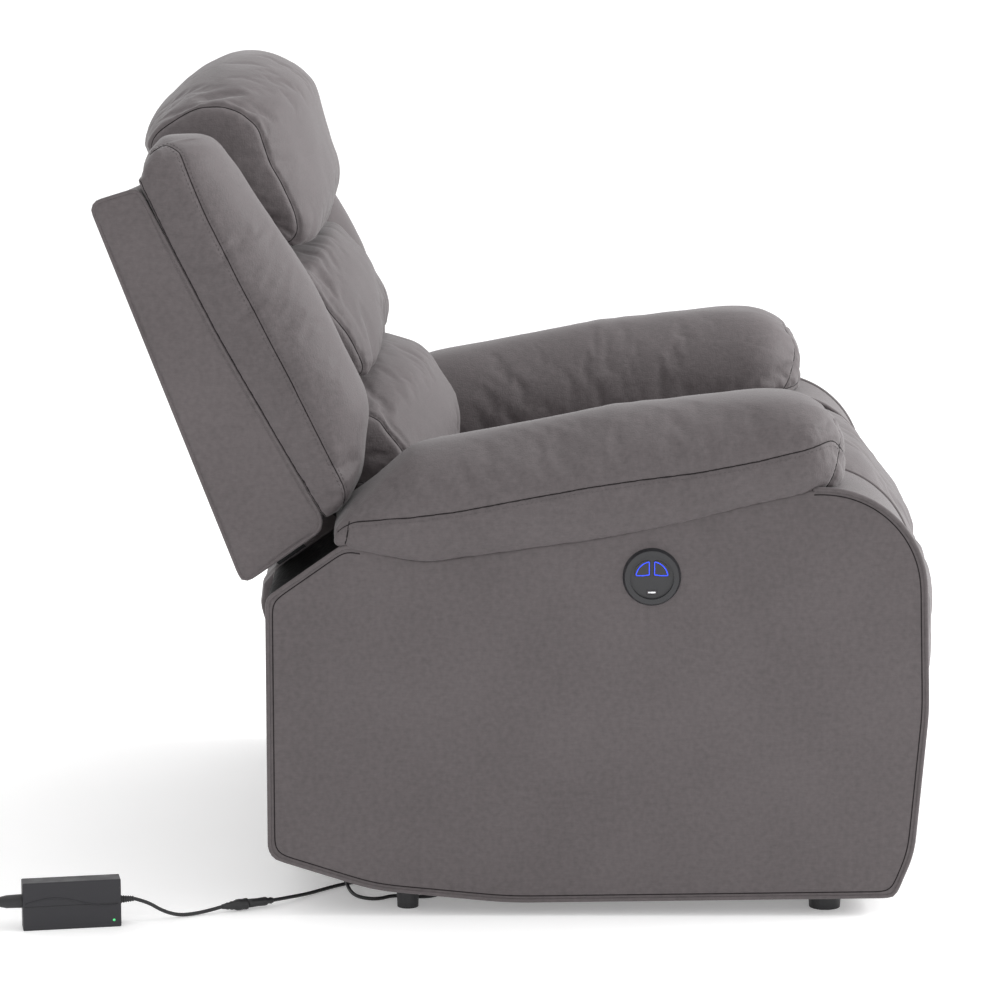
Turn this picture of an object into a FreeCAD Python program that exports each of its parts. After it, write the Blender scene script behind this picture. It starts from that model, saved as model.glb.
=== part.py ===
import FreeCAD, Part
import math
import os

import Sketcher
from FreeCAD import Placement, Rotation, Vector

# A powered recliner armchair, in millimetres. The origin is on the floor under the middle of the chair.
# +Z is up, -Y is the front, +X is the sitter's left.

SIZES = {
    "arm_outer": 465.0,  # centre of the chair to the outer face of an arm
    "arm_inner": 285.0,  # centre of the chair to the inner face of an arm
    "pad_outer": 480.0,
    "pad_inner": 280.0,
    "cover_thick": 3.0,
    "board_thick": 15.0,
    "board_gap": 0.5,  # between the boards and the cover drawn over them
    "back_half": 440.0,
    "back_panel_thick": 12.0,
    "cushion_half": 258.0,
    "seat_half": 279.5,
    "rail_outer": 256.0,
    "rail_inner": 236.0,
    "rail_low": 380.0,
    "rail_high": 415.0,
    "rest_half": 268.0,
    "rear_panel_half": 266.0,  # leaves room for the back's brackets beside it
    "plate_outer": 284.0,  # steel mechanism plate, against the arm
    "plate_inner": 279.0,
    "rear_link_outer": 275.0,
    "rear_link_inner": 270.0,
    "front_link_outer": 267.0,
    "front_link_inner": 262.0,
    "pin_radius": 6.0,
    "pin_play": 0.05,
    "hinge_radius": 8.0,
    "tube_radius": 14.0,
    "front_foot_radius": 22.0,
    "rear_foot_radius": 15.0,
    "foot_spread": 420.0,
    "control_radius": 36.5,
    "control_neck": 30.0,
    "control_proud": 6.0,
    "rod_radius": 10.0,
    "actuator_radius": 20.0,
    "lead_diameter": 4.6,
    "mains_diameter": 5.6,
}

SIDES = (("left", 1), ("right", -1))

doc = FreeCAD.newDocument("recliner_armchair")
sheet = doc.addObject("Spreadsheet::Sheet", "sizes")
for row, (alias, value) in enumerate(SIZES.items(), 1):
    sheet.set(f"A{row}", alias)
    sheet.set(f"B{row}", str(value))
    sheet.setAlias(f"B{row}", alias)
doc.recompute()

kept = []


def size(alias):
    """A driving dimension, read from the sheet."""
    return float(sheet.get(alias))


def keep(thing, label):
    """Marks a finished sub-part: its label names its file."""
    thing.Label = label
    kept.append(thing)
    return thing


# Outlines. An outline is a closed polygon of (y, z, corner radius) in the chair's side view.


def turn_between(before, after):
    """The signed angle from one direction to the next."""
    return math.atan2(before.x * after.y - before.y * after.x, before.dot(after))


def rounded(outline):
    """The lines and arcs of an outline whose corners are rounded."""
    count = len(outline)
    points = [Vector(y, z, 0) for y, z, radius in outline]
    starts, ends, mids = [], [], []
    for i, (y, z, radius) in enumerate(outline):
        before = (points[i] - points[i - 1]).normalize()
        after = (points[(i + 1) % count] - points[i]).normalize()
        turn = turn_between(before, after)
        reach = radius * math.tan(abs(turn) / 2)
        starts.append(points[i] - before * reach)
        ends.append(points[i] + after * reach)
        bulge = radius / math.cos(turn / 2) - radius
        inward = (after - before).normalize()
        mids.append(points[i] + inward * bulge)
    edges = []
    for i in range(count):
        if (ends[i] - starts[i]).Length > 1e-4:
            edges.append(Part.Arc(starts[i], mids[i], ends[i]))
        following = starts[(i + 1) % count]
        if (following - ends[i]).Length > 1e-4:
            edges.append(Part.LineSegment(ends[i], following))
    return edges


def inset(outline, depth):
    """The same outline, moved inwards by depth."""
    count = len(outline)
    points = [Vector(y, z, 0) for y, z, radius in outline]
    area = sum(points[i - 1].x * points[i].y - points[i].x * points[i - 1].y for i in range(count))
    hand = math.copysign(1, area)
    result = []
    for i, (y, z, radius) in enumerate(outline):
        before = (points[i] - points[i - 1]).normalize()
        after = (points[(i + 1) % count] - points[i]).normalize()
        turn = turn_between(before, after)
        normal = Vector(-before.y - after.y, before.x + after.x, 0).normalize() * hand
        corner = points[i] + normal * (depth / math.cos(turn / 2))
        inner_radius = radius - depth * math.copysign(1, turn * hand)
        result.append((corner.x, corner.y, max(inner_radius, 0)))
    return result


def side_sketch(body, outline, holes=()):
    """A sketch on a body's YZ plane of an outline and of round holes (y, z, expression of the radius)."""
    plane = next(feature for feature in body.Origin.OriginFeatures if feature.Role == "YZ_Plane")
    sketch = body.newObject("Sketcher::SketchObject", "Sketch")
    sketch.AttachmentSupport = (plane, [""])
    sketch.MapMode = "FlatFace"
    for edge in rounded(outline):
        sketch.addGeometry(edge)
    for y, z, radius in holes:
        index = sketch.addGeometry(Part.Circle(Vector(y, z, 0), Vector(0, 0, 1), 5.0))
        constraint = sketch.addConstraint(Sketcher.Constraint("Radius", index, 5.0))
        sketch.setExpression(f"Constraints[{constraint}]", radius)
    return sketch


def profile(label, outline, low, high, holes=()):
    """A body whose side view is an outline, between two expressions of x."""
    body = doc.addObject("PartDesign::Body", label)
    sketch = side_sketch(body, outline, holes)
    pad = body.newObject("PartDesign::Pad", "Pad")
    pad.Profile = sketch
    pad.setExpression("Length", f"({high}) - ({low})")
    body.setExpression(".Placement.Base.x", low)
    return body


def block(label, low, high):
    """A box between two corners, each a triple of expressions."""
    box = doc.addObject("Part::Box", label)
    for axis, side in enumerate(("Length", "Width", "Height")):
        box.setExpression(side, f"({high[axis]}) - ({low[axis]})")
    for axis, letter in enumerate("xyz"):
        box.setExpression(f".Placement.Base.{letter}", str(low[axis]))
    return box


def rod(label, radius, start, end):
    """A cylinder from start to end; radius is an expression."""
    cylinder = doc.addObject("Part::Cylinder", label)
    cylinder.setExpression("Radius", radius)
    cylinder.Height = (end - start).Length
    cylinder.Placement = Placement(start, Rotation(Vector(0, 0, 1), end - start))
    return cylinder


def cone(label, start, end, start_radius, end_radius):
    taper = doc.addObject("Part::Cone", label)
    taper.Radius1 = start_radius
    taper.Radius2 = end_radius
    taper.Height = (end - start).Length
    taper.Placement = Placement(start, Rotation(Vector(0, 0, 1), end - start))
    return taper


def cut(label, base, tool):
    result = doc.addObject("Part::Cut", label)
    result.Base = base
    result.Tool = tool
    return result


def fuse(label, shapes):
    result = doc.addObject("Part::MultiFuse", label)
    result.Shapes = shapes
    return result


def group(label, pieces):
    """Identical or similar separate solids that share one node."""
    result = doc.addObject("Part::Compound", label)
    result.Links = pieces
    return result


def span(sign, inner, outer):
    """The low and high x of a piece that lies between two sizes on one side of the chair."""
    if sign > 0:
        return f"sizes.{inner}", f"sizes.{outer}"
    return f"-sizes.{outer}", f"-sizes.{inner}"


# Arms

SIDE_OUTLINE = [
    (314, 400, 12),
    (314, 76, 18),
    (185, 35, 240),
    (20, 19, 500),
    (-457, 25, 12),
    (-479, 80, 120),
    (-494, 260, 300),
    (-486, 538, 128),
    (-352, 536, 6),
    (-100, 478, 700),
    (125, 446, 160),
    (219, 467, 14),
]
PAD_OUTLINE = [
    (140, 577, 50),
    (194, 528, 40),
    (230, 495, 12),
    (236, 472, 10),
    (125, 448.5, 150),
    (-100, 478.8, 700),
    (-351, 537, 8),
    (-392, 541, 14),
    (-402, 640, 78),
    (-300, 646, 150),
    (-110, 627, 400),
]
FOOT_FRONT_Y = -375.0
FOOT_REAR_Y = 145.0
CONTROL_Y = -155.0
CONTROL_Z = 428.0


def arm_cover(side, sign):
    low, high = span(sign, "arm_inner", "arm_outer")
    skin = size("cover_thick")
    outer = profile(f"cover_outside_{side}", SIDE_OUTLINE, low, high)
    inner = profile(
        f"cover_inside_{side}",
        inset(SIDE_OUTLINE, skin),
        f"{low} + sizes.cover_thick",
        f"{high} - sizes.cover_thick",
    )
    mouth = block(
        f"cover_mouth_{side}",
        (f"{low} + sizes.cover_thick", -440, -5),
        (f"{high} - sizes.cover_thick", 180, 40),
    )
    cover = cut(f"cover_shell_{side}", outer, fuse(f"cover_space_{side}", [inner, mouth]))
    if side == "right":
        cover = cut("cover_with_hole", cover, control_bore("cover_bore"))
    return keep(cover, f"arm_cover_{side}")


def control_bore(label):
    """The round hole in the right arm that the control panel's neck sits in."""
    start = Vector(-size("arm_outer") - 5, CONTROL_Y, CONTROL_Z)
    return rod(label, "sizes.control_neck + 0.2", start, start + Vector(40, 0, 0))


def arm_boards(side, sign):
    gap = size("cover_thick") + size("board_gap")
    outline = inset(SIDE_OUTLINE, gap)
    inset_text = "sizes.cover_thick + sizes.board_gap"
    low, high = span(sign, "arm_inner", "arm_outer")
    first = profile(
        f"board_low_{side}", outline, f"{low} + {inset_text}", f"{low} + {inset_text} + sizes.board_thick"
    )
    outer = f"{high} - ({inset_text})"
    second = profile(f"board_high_{side}", outline, f"{outer} - sizes.board_thick", outer)
    if side == "right":
        first = cut("board_with_hole", first, control_bore("board_bore"))
    return keep(group(f"boards_{side}", [first, second]), f"arm_boards_{side}")


def arm_battens():
    """Softwood blocks between the two boards of each arm."""
    blocks = {
        "front_foot": (-430, -300, 40, 64),
        "rear_foot": (80, 210, 48, 72),
        "front_post": (-470, -447, 150, 350),
        "rear_post": (282, 305, 100, 380),
        "top": (-300, 80, 360, 385),
    }
    battens = []
    for side, sign in SIDES:
        low, high = span(sign, "arm_inner", "arm_outer")
        margin = "sizes.cover_thick + sizes.board_gap + sizes.board_thick"
        for name, (rear, front, bottom, top) in blocks.items():
            battens.append(
                block(
                    f"{name}_{side}",
                    (f"{low} + {margin}", rear, bottom),
                    (f"{high} - ({margin})", front, top),
                )
            )
    return keep(group("battens", battens), "arm_battens")


def arm_pad(side, sign):
    low, high = span(sign, "pad_inner", "pad_outer")
    return keep(profile(f"pad_{side}", PAD_OUTLINE, low, high), f"arm_pad_{side}")


def foot(end, side, sign):
    y = FOOT_FRONT_Y if end == "front" else FOOT_REAR_Y
    top = 40.0 if end == "front" else 48.0
    base = Vector(sign * size("foot_spread"), y, 0)
    glide = cone("glide", base, base + Vector(0, 0, top), 20.0, 22.0)
    glide.setExpression("Radius2", f"sizes.{end}_foot_radius")
    glide.setExpression("Radius1", f"sizes.{end}_foot_radius * 0.88")
    return keep(glide, f"foot_{end}_{side}")


# Seat

SEAT_OUTLINE = [
    (205, 471, 18),
    (205, 418, 4),
    (-408, 418, 0),
    (-408, 406, 0),
    (-517, 406, 10),
    (-512, 425, 12),
    (-448, 528, 50),
    (-398, 543, 70),
    (60, 486, 500),
]
REAR_PANEL_Y = (304.0, 313.0)
FLAP_OUTLINE = [
    (306, 371, 0),
    (313.6, 371, 0),
    (313.6, 305, 2),
    (325, 320, 12),
    (334, 350, 16),
    (331, 378, 12),
    (315, 397, 5),
    (306, 396, 4),
]
SPRING_COUNT = 4
SPRING_SPACING = 110.0
SPRING_HEIGHT = 400.0
SPRING_ENDS = (-372.0, 169.0)
SPRING_HALF_WIDTH = 22.0
SPRING_PITCH = 34.0
SPRING_CORNER = 6.0  # half of the short run at each turn
SPRING_WIRE = 4.0


def seat_rails():
    sides = []
    for side, sign in SIDES:
        low, high = span(sign, "rail_inner", "rail_outer")
        sides.append(block(f"side_rail_{side}", (low, -400, "sizes.rail_low"), (high, 200, "sizes.rail_high")))
    keep(group("side_rails", sides), "seat_side_rails")
    crosses = []
    for name, front, rear in (("front", -400, -375), ("rear", 172, 197)):
        crosses.append(
            block(
                f"cross_rail_{name}",
                ("-sizes.rail_inner", front, "sizes.rail_low"),
                ("sizes.rail_inner", rear, "sizes.rail_high"),
            )
        )
    keep(group("cross_rails", crosses), "seat_cross_rails")


def smooth_path(points, ratio=0.45):
    """Straight runs joined by tangent arcs, each as large as its two runs allow."""
    edges = []
    radii = []
    start = points[0]
    for before, corner, after in zip(points, points[1:], points[2:]):
        arriving = corner - before
        leaving = after - corner
        turn = arriving.getAngle(leaving)
        reach = ratio * min(arriving.Length, leaving.Length)
        radius = reach / math.tan(turn / 2)
        arriving.normalize()
        leaving.normalize()
        enter = corner - arriving * reach
        leave = corner + leaving * reach
        inward = (leaving - arriving).normalize()
        middle = corner + inward * (radius / math.cos(turn / 2) - radius)
        edges.append(Part.LineSegment(start, enter).toShape())
        edges.append(Part.Arc(enter, middle, leave).toShape())
        radii.append(radius)
        start = leave
    edges.append(Part.LineSegment(start, points[-1]).toShape())
    return Part.Wire(edges), radii


def tube(label, points, diameter):
    """A round wire or cord along a path of runs and arcs."""
    path, radii = smooth_path(points)
    across = Part.Circle(points[0], points[1] - points[0], diameter / 2).toShape()
    shape = path.makePipeShell([Part.Wire([across])], True, False)
    expected = math.pi * diameter**2 / 4 * path.Length
    print(f"{label}: length {path.Length:.1f}, radii {', '.join(f'{r:.0f}' for r in radii)}")
    print(f"{label}: volume is {shape.Volume / expected:.4f} of section times length")
    feature = doc.addObject("Part::Feature", label)
    feature.Shape = shape
    feature.Placement = Placement()
    return feature


def seat_springs():
    """Zigzag spring wires, hooked between the front and rear rails."""
    wires = []
    front, rear = SPRING_ENDS
    steps = int((rear - front - 2 * SPRING_PITCH) / SPRING_PITCH)
    for number in range(SPRING_COUNT):
        x = SPRING_SPACING * (number - (SPRING_COUNT - 1) / 2)
        points = [Vector(x, front, SPRING_HEIGHT)]
        for step in range(steps + 1):
            side = SPRING_HALF_WIDTH if step % 2 else -SPRING_HALF_WIDTH
            y = front + SPRING_PITCH * (step + 1)
            points.append(Vector(x + side, y - SPRING_CORNER, SPRING_HEIGHT))
            points.append(Vector(x + side, y + SPRING_CORNER, SPRING_HEIGHT))
        points.append(Vector(x, rear, SPRING_HEIGHT))
        wires.append(tube(f"spring_{number}", points, SPRING_WIRE))
    return keep(group("springs", wires), "seat_springs")


def seat():
    seat_rails()
    seat_springs()
    keep(profile("seat_pad", SEAT_OUTLINE, "-sizes.seat_half", "sizes.seat_half"), "seat_cushion")
    half = "sizes.rear_panel_half"
    front, rear = REAR_PANEL_Y
    keep(block("rear_board", (f"-{half}", front, 48), (half, rear, 370)), "rear_panel")
    keep(profile("flap", FLAP_OUTLINE, f"-{half}", half), "rear_flap")


# Backrest. It leans back, so its places are given along its rear edge and in front of that edge.

BACK_FOOT = Vector(344.5, 415, 0)
BACK_HEAD = Vector(524, 881, 0)
BACK_LENGTH = (BACK_HEAD - BACK_FOOT).Length


def on_back(along, depth):
    """The (y, z) that is so far up the back's rear edge and so far in front of it."""
    up = (BACK_HEAD - BACK_FOOT).normalize()
    forward = Vector(-up.y, up.x, 0)
    place = BACK_FOOT + up * along + forward * depth
    return place.x, place.y


def back_box(label, low, high, along, depth):
    """A batten that leans with the back."""
    outline = [
        (*on_back(along[0], depth[0]), 0),
        (*on_back(along[0], depth[1]), 0),
        (*on_back(along[1], depth[1]), 0),
        (*on_back(along[1], depth[0]), 0),
    ]
    return profile(label, outline, low, high)


SIDE_PANEL_OUTLINE = [
    (BACK_FOOT.x, BACK_FOOT.y, 8),
    (BACK_HEAD.x, BACK_HEAD.y, 10),
    (466, 899, 10),
    (367, 706, 900),
    (249, 498, 10),
    (250, 481, 6),
]
CORE_OUTLINE = [
    (*on_back(14, 52), 3),
    (*on_back(BACK_LENGTH - 12, 52), 1),
    (462, 883, 1),
    (254, 500, 8),
    (257, 484, 4),
]
WING_OUTLINE = [
    (463, 903, 6),
    (450, 955, 28),
    (380, 957, 42),
    (260, 778, 420),
    (190, 628, 90),
    (204, 522, 55),
    (237, 495, 12),
    (248.5, 503, 3),
    (364, 708, 900),
]
HEAD_OUTLINE = [
    (258, 806, 14),
    (423, 818, 6),
    (468, 900, 6),
    (493, 913, 16),
    (482, 955, 70),
    (427, 1010, 110),
    (354, 1043, 85),
    (278, 1004, 60),
    (239, 872, 90),
]
MIDDLE_OUTLINE = [
    (246, 803, 18),
    (200, 757, 60),
    (180, 700, 60),
    (183, 660, 10),
    (338, 660, 4),
    (415, 803, 4),
]
LOWER_OUTLINE = [
    (180, 657, 10),
    (128, 642, 50),
    (84, 566, 80),
    (86, 493, 16),
    (250, 493, 4),
    (336, 657, 4),
]
POST_X = (360.0, 400.0)
BACK_RAIL_X = 359.5
CORE_X = 427.0
REAR_SKIN_X = 427.5
POST_DEPTH = (12.0, 51.0)  # from the back's rear edge
REAR_SKIN_DEPTH = (2.0, 11.0)
TOP_FALL = 46.0  # the top edge at the rear is so far below the side panels' corners


def backrest():
    frame_top = BACK_LENGTH - TOP_FALL + 4
    posts = []
    near, far = POST_X
    for side, sign in SIDES:
        low, high = (near, far) if sign > 0 else (-far, -near)
        posts.append(back_box(f"post_{side}", str(low), str(high), (16, frame_top), POST_DEPTH))
    keep(group("posts", posts), "back_posts")
    rails = []
    for name, along in (("bottom", (16, 66)), ("top", (frame_top - 52, frame_top - 2))):
        rails.append(back_box(f"{name}_rail", str(-BACK_RAIL_X), str(BACK_RAIL_X), along, POST_DEPTH))
    keep(group("rails", rails), "back_rails")
    along = (2, BACK_LENGTH - TOP_FALL)
    skin = back_box("rear_skin", str(-REAR_SKIN_X), str(REAR_SKIN_X), along, REAR_SKIN_DEPTH)
    keep(skin, "back_rear_panel")
    keep(profile("core", CORE_OUTLINE, str(-CORE_X), str(CORE_X)), "back_core")
    for side, sign in SIDES:
        outer = "sizes.back_half"
        inner = "(sizes.back_half - sizes.back_panel_thick)"
        low, high = (inner, outer) if sign > 0 else (f"-{outer}", f"-{inner}")
        keep(profile(f"side_{side}", SIDE_PANEL_OUTLINE, low, high), f"back_side_panel_{side}")
        inner = "(sizes.cushion_half + 2)"
        low, high = (inner, outer) if sign > 0 else (f"-{outer}", f"-{inner}")
        keep(profile(f"bolster_{side}", WING_OUTLINE, low, high), f"back_wing_{side}")
    for label, outline in (
        ("head_pillow", HEAD_OUTLINE),
        ("lumbar_middle", MIDDLE_OUTLINE),
        ("lumbar_lower", LOWER_OUTLINE),
    ):
        keep(profile(f"{label}_pad", outline, "-sizes.cushion_half", "sizes.cushion_half"), label)


# Steelwork. The recline hinge and the footrest's fixed pivot are on a plate against each arm.

HINGE = (130.0, 300.0)
REST_PIVOT = (-340.0, 360.0)
ELBOW = (-193.0, 170.0)
TIP = (-395.0, 300.0)
LINK_HALF = 15.0
FIXED_PIN_X = (268.5, 284.0)
MOVING_PIN_X = (260.0, 276.5)


def strap(start, end, half):
    """The outline of a flat link with round ends."""
    first = Vector(*start, 0)
    last = Vector(*end, 0)
    ahead = (last - first).normalize() * half
    across = Vector(-ahead.y, ahead.x, 0)
    corners = (first - ahead - across, last + ahead - across, last + ahead + across, first - ahead + across)
    return [(corner.x, corner.y, half - 0.01) for corner in corners]


def flat_link(label, start, end, inner, outer, sign, holes):
    low, high = span(sign, inner, outer)
    return profile(label, strap(start, end, LINK_HALF), low, high, holes)


def pin(label, centre, ends, sign, radius):
    low, high = sorted(sign * end for end in ends)
    start = Vector(low, *centre)
    return rod(label, radius, start, Vector(high, *centre))


def steelwork():
    running = "sizes.pin_radius + sizes.pin_play"
    hinge_running = "sizes.hinge_radius + sizes.pin_play"
    base_pins, elbow_pins, tip_pins, feet_of_rest = [], [], [], []
    for side, sign in SIDES:
        low, high = span(sign, "plate_inner", "plate_outer")
        plate_outline = [
            (-362, 340, 12),
            (100, 272, 26),
            (158, 272, 26),
            (158, 330, 26),
            (60, 378, 60),
            (-362, 378, 12),
        ]
        plate_holes = [(*REST_PIVOT, "sizes.pin_radius"), (*HINGE, "sizes.hinge_radius")]
        keep(profile(f"plate_{side}", plate_outline, low, high, plate_holes), f"mechanism_plate_{side}")
        base_pins.append(pin("rest_pin", REST_PIVOT, FIXED_PIN_X, sign, "sizes.pin_radius"))
        base_pins.append(pin("hinge_pin", HINGE, FIXED_PIN_X, sign, "sizes.hinge_radius"))

        rear_holes = [(*REST_PIVOT, running), (*ELBOW, "sizes.pin_radius")]
        rear = flat_link(
            f"rear_{side}", REST_PIVOT, ELBOW, "rear_link_inner", "rear_link_outer", sign, rear_holes
        )
        keep(rear, f"rear_link_{side}")
        elbow_pins.append(pin("elbow_pin", ELBOW, MOVING_PIN_X, sign, "sizes.pin_radius"))

        front_holes = [(*ELBOW, running), (*TIP, "sizes.pin_radius")]
        front = flat_link(
            f"front_{side}", ELBOW, TIP, "front_link_inner", "front_link_outer", sign, front_holes
        )
        keep(front, f"front_link_{side}")
        tip_pins.append(pin("tip_pin", TIP, MOVING_PIN_X, sign, "sizes.pin_radius"))

        low, high = span(sign, "rear_link_inner", "rear_link_outer")
        ear = [(-414.7, 270, 4), (-383, 282, 14), (-378, 316, 14), (-396, 322, 14), (-414.7, 340, 4)]
        feet_of_rest.append(profile(f"ear_{side}", ear, low, high, [(*TIP, running)]))

        low, high = span(sign, "rear_link_inner", "rear_link_outer")
        keep(
            profile(f"bracket_{side}", hinge_bracket_outline(), low, high, [(*HINGE, hinge_running)]),
            f"back_bracket_{side}",
        )
    keep(group("base_pins_group", base_pins), "base_pins")
    keep(group("elbow_pins_group", elbow_pins), "elbow_pins")
    keep(group("tip_pins_group", tip_pins), "tip_pins")
    keep(group("rest_ears", feet_of_rest), "footrest_brackets")


def hinge_bracket_outline():
    """A plate that rises from the recline hinge, under the seat, to the foot of the back."""
    return [
        (112, 281, 17),
        (150, 281, 17),
        (296, 392, 30),
        (*on_back(15.5, 11.5), 3),
        (*on_back(15.5, 51.5), 3),
        (262, 420, 30),
        (112, 319, 17),
    ]


def torque_tube():
    """The tube that ties the two rear links together, with the lug that the actuator pushes."""
    start = Vector(-size("rear_link_inner"), *REST_PIVOT)
    end = Vector(size("rear_link_inner"), *REST_PIVOT)
    solid = rod("tube_outside", "sizes.tube_radius", start, end)
    hollow = rod("tube_inside", "sizes.tube_radius - 3", start, end)
    lug_end = (REST_PIVOT[0] + 42, REST_PIVOT[1] - 35)
    lug = profile("lug", strap(REST_PIVOT, lug_end, 10.0), "-8", "8")
    tube_shape = cut("tube", fuse("tube_with_lug", [solid, lug]), hollow)
    keep(tube_shape, "torque_tube")


# Footrest

REST_PAD_OUTLINE = [
    (-430.5, 400, 10),
    (-430.5, 100, 10),
    (-492, 100, 40),
    (-522, 186, 110),
    (-536, 262, 90),
    (-537, 338, 90),
    (-520, 400, 12),
]


def footrest():
    keep(block("rest_board", ("-sizes.rest_half", -430, 102), ("sizes.rest_half", -415, 398)), "footrest_board")
    keep(profile("rest_pad", REST_PAD_OUTLINE, "-sizes.rest_half", "sizes.rest_half"), "footrest_pad")


# Actuator

ACTUATOR_Z = 270.0


def actuator():
    axis = Vector(0, 0, ACTUATOR_Z)
    front, rear = Vector(0, -150, 0), Vector(0, 60, 0)
    outside = rod("actuator_outside", "sizes.actuator_radius", axis + front, axis + rear)
    mouth = front + Vector(0, -1, 0)
    bore = rod("actuator_bore", "sizes.rod_radius + 1", axis + mouth, axis + Vector(0, 40, 0))
    keep(cut("actuator_body", outside, bore), "actuator_tube")
    shaft = rod("shaft", "sizes.rod_radius", axis + Vector(0, -290, 0), axis + Vector(0, -20, 0))
    eye = rod("eye", "sizes.rod_radius + 2", axis + Vector(-12, -290, 0), axis + Vector(12, -290, 0))
    keep(fuse("rod_with_eye", [shaft, eye]), "actuator_rod")
    case = profile("case", [(60, 235, 12), (152, 235, 12), (152, 312, 14), (60, 300, 14)], "-42", "32")
    hanger = block("hanger", (-12, 118, 300), (12, 192, 379.5))
    keep(fuse("case_with_hanger", [case, hanger]), "actuator_motor")


# Control panel in the right arm: a ring with a recessed disc, two buttons and a USB port.

BUTTON_TRAVEL = 1.2
USB_Z = 409.0
USB_HALF = (6.8, 3.2)


def sector(radius, gap, sign):
    """A quarter-round button beside the panel's middle, as corners (y, z, radius)."""
    y, z = CONTROL_Y, CONTROL_Z - 1
    return [
        (y + sign * gap, z + gap, 1.0),
        (y + sign * radius, z + gap, 3.0),
        (y + sign * radius * 0.9, z + radius * 0.62, 8.0),
        (y + sign * radius * 0.5, z + radius * 0.95, 8.0),
        (y + sign * gap, z + radius, 3.0),
    ]


def control_panel():
    face = -size("arm_outer")
    proud = size("control_proud")
    centre = Vector(0, CONTROL_Y, CONTROL_Z)
    ring = cone("ring", centre + Vector(face, 0, 0), centre + Vector(face - proud, 0, 0), 36.5, 33.0)
    ring.setExpression("Radius1", "sizes.control_radius")
    neck = rod("neck", "sizes.control_neck", centre + Vector(face, 0, 0), centre + Vector(face + 22, 0, 0))
    recess_start = centre + Vector(face - proud - 1, 0, 0)
    recess = rod("recess", "sizes.control_neck - 3", recess_start, centre + Vector(face - 2, 0, 0))
    pockets = [recess]
    for side, sign in SIDES:
        pocket = profile(f"pocket_{side}", sector(22.3, 1.7, sign), f"{face - 3}", f"{face + 4.5}")
        pockets.append(pocket)
    y_half, z_half = USB_HALF
    pockets.append(
        block(
            "usb_pocket",
            (face - 3, CONTROL_Y - y_half, USB_Z - z_half),
            (face + 14, CONTROL_Y + y_half, USB_Z + z_half),
        )
    )
    keep(cut("panel", fuse("ring_and_neck", [ring, neck]), fuse("panel_pockets", pockets)), "control_panel")
    for name, sign in (("button_open", 1), ("button_close", -1)):
        cap = profile(f"{name}_cap", sector(22.0, 2.0, sign), f"{face - 3}", f"{face + 2}")
        keep(cap, name)
    shell = block(
        "usb_outside",
        (face - 2.4, CONTROL_Y - y_half, USB_Z - z_half),
        (face + 14, CONTROL_Y + y_half, USB_Z + z_half),
    )
    slot = block(
        "usb_slot", (face - 4, CONTROL_Y - 6.0, USB_Z - 2.25), (face + 11, CONTROL_Y + 6.0, USB_Z + 2.25)
    )
    keep(cut("usb_shell", shell, slot), "usb_port")


# Cords. The chair's lead drops from the motor to the floor, passes behind the right rear foot, makes
# a loop under the arm's edge and meets the adapter's lead in a plug-in connector.

CHAIR_LEAD = [
    (-30, 172, 255),
    (-31, 202, 253),
    (-35, 232, 236),
    (-43, 245, 203),
    (-56, 242, 160),
    (-76, 226, 116),
    (-103, 202, 74),
    (-139, 176, 36),
    (-182, 152, 10),
    (-228, 130, 2.3),
    (-274, 111, 2.3),
    (-319, 99, 2.3),
    (-358, 98, 2.3),
    (-386, 113, 2.3),
    (-388, 140, 2.3),
    (-380, 164, 2.3),
    (-400, 184, 2.3),
    (-389, 209, 2.3),
    (-363, 220, 3.6),
    (-341, 226, 11.6),
    (-316, 235, 11.6),
    (-286, 245, 3.6),
    (-252, 246, 2.3),
    (-224, 228, 2.3),
    (-214, 198, 2.3),
    (-229, 170, 2.3),
    (-258, 157, 2.3),
    (-290, 166, 2.3),
    (-312, 192, 2.3),
    (-323, 222, 2.3),
    (-346, 247, 2.3),
    (-374, 271, 2.6),
    (-400, 293, 5.4),
    (-421, 313, 7.6),
]
CONNECTOR = (Vector(-421, 313, 7.6), Vector(-450.8, 374.9, 7.6))
ADAPTER_LEAD = [
    (-450.8, 374.9, 7.6),
    (-458, 390, 5.0),
    (-464, 408, 2.6),
    (-474, 427, 3.4),
    (-484, 446, 12),
    (-491.8, 464, 26),
    (-495.3, 480.1, 31),
]
ADAPTER_CENTRE = Vector(-509.1, 555.3, 30.0)
ADAPTER_SIZE = (26.0, 120.0, 60.0)
ADAPTER_TURN = 10.4
RELIEF_LENGTH = 17.0
MAINS_CONNECTOR_LENGTH = 38.0
MAINS_LEAD = [
    (-526.6, 651.6, 35),
    (-529.5, 667, 34),
    (-531.5, 686, 22),
    (-529.5, 705, 9),
    (-525.5, 727, 4.0),
    (-523, 745, 2.8),
]
MAINS_TAIL = [
    (-457, 744, 2.8),
    (-457.5, 724, 2.8),
    (-456, 701, 2.8),
    (-438, 683, 2.8),
    (-412, 682, 3.0),
    (-394, 701, 4.8),
    (-392.5, 724, 6.85),
]
COIL_CENTRE = Vector(-490, 742, 0)
COIL_INNER = 24.0
COIL_OUTER = 42.0
COIL_HEIGHT = 11.4
PLUG_START = Vector(-392.5, 724, 6.85)


def vectors(points):
    return [Vector(*point) for point in points]


def tapered_body(label, start, end, stations):
    """A moulded body of round cones between stations: (fraction of the length, radius)."""
    pieces = []
    for (here, radius), (there, next_radius) in zip(stations, stations[1:]):
        first = start + (end - start) * here
        last = start + (end - start) * there
        if abs(radius - next_radius) < 1e-6:
            pieces.append(rod(f"{label}_piece", str(radius), first, last))
        else:
            pieces.append(cone(f"{label}_piece", first, last, radius, next_radius))
    return fuse(label, pieces) if len(pieces) > 1 else pieces[0]


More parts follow.
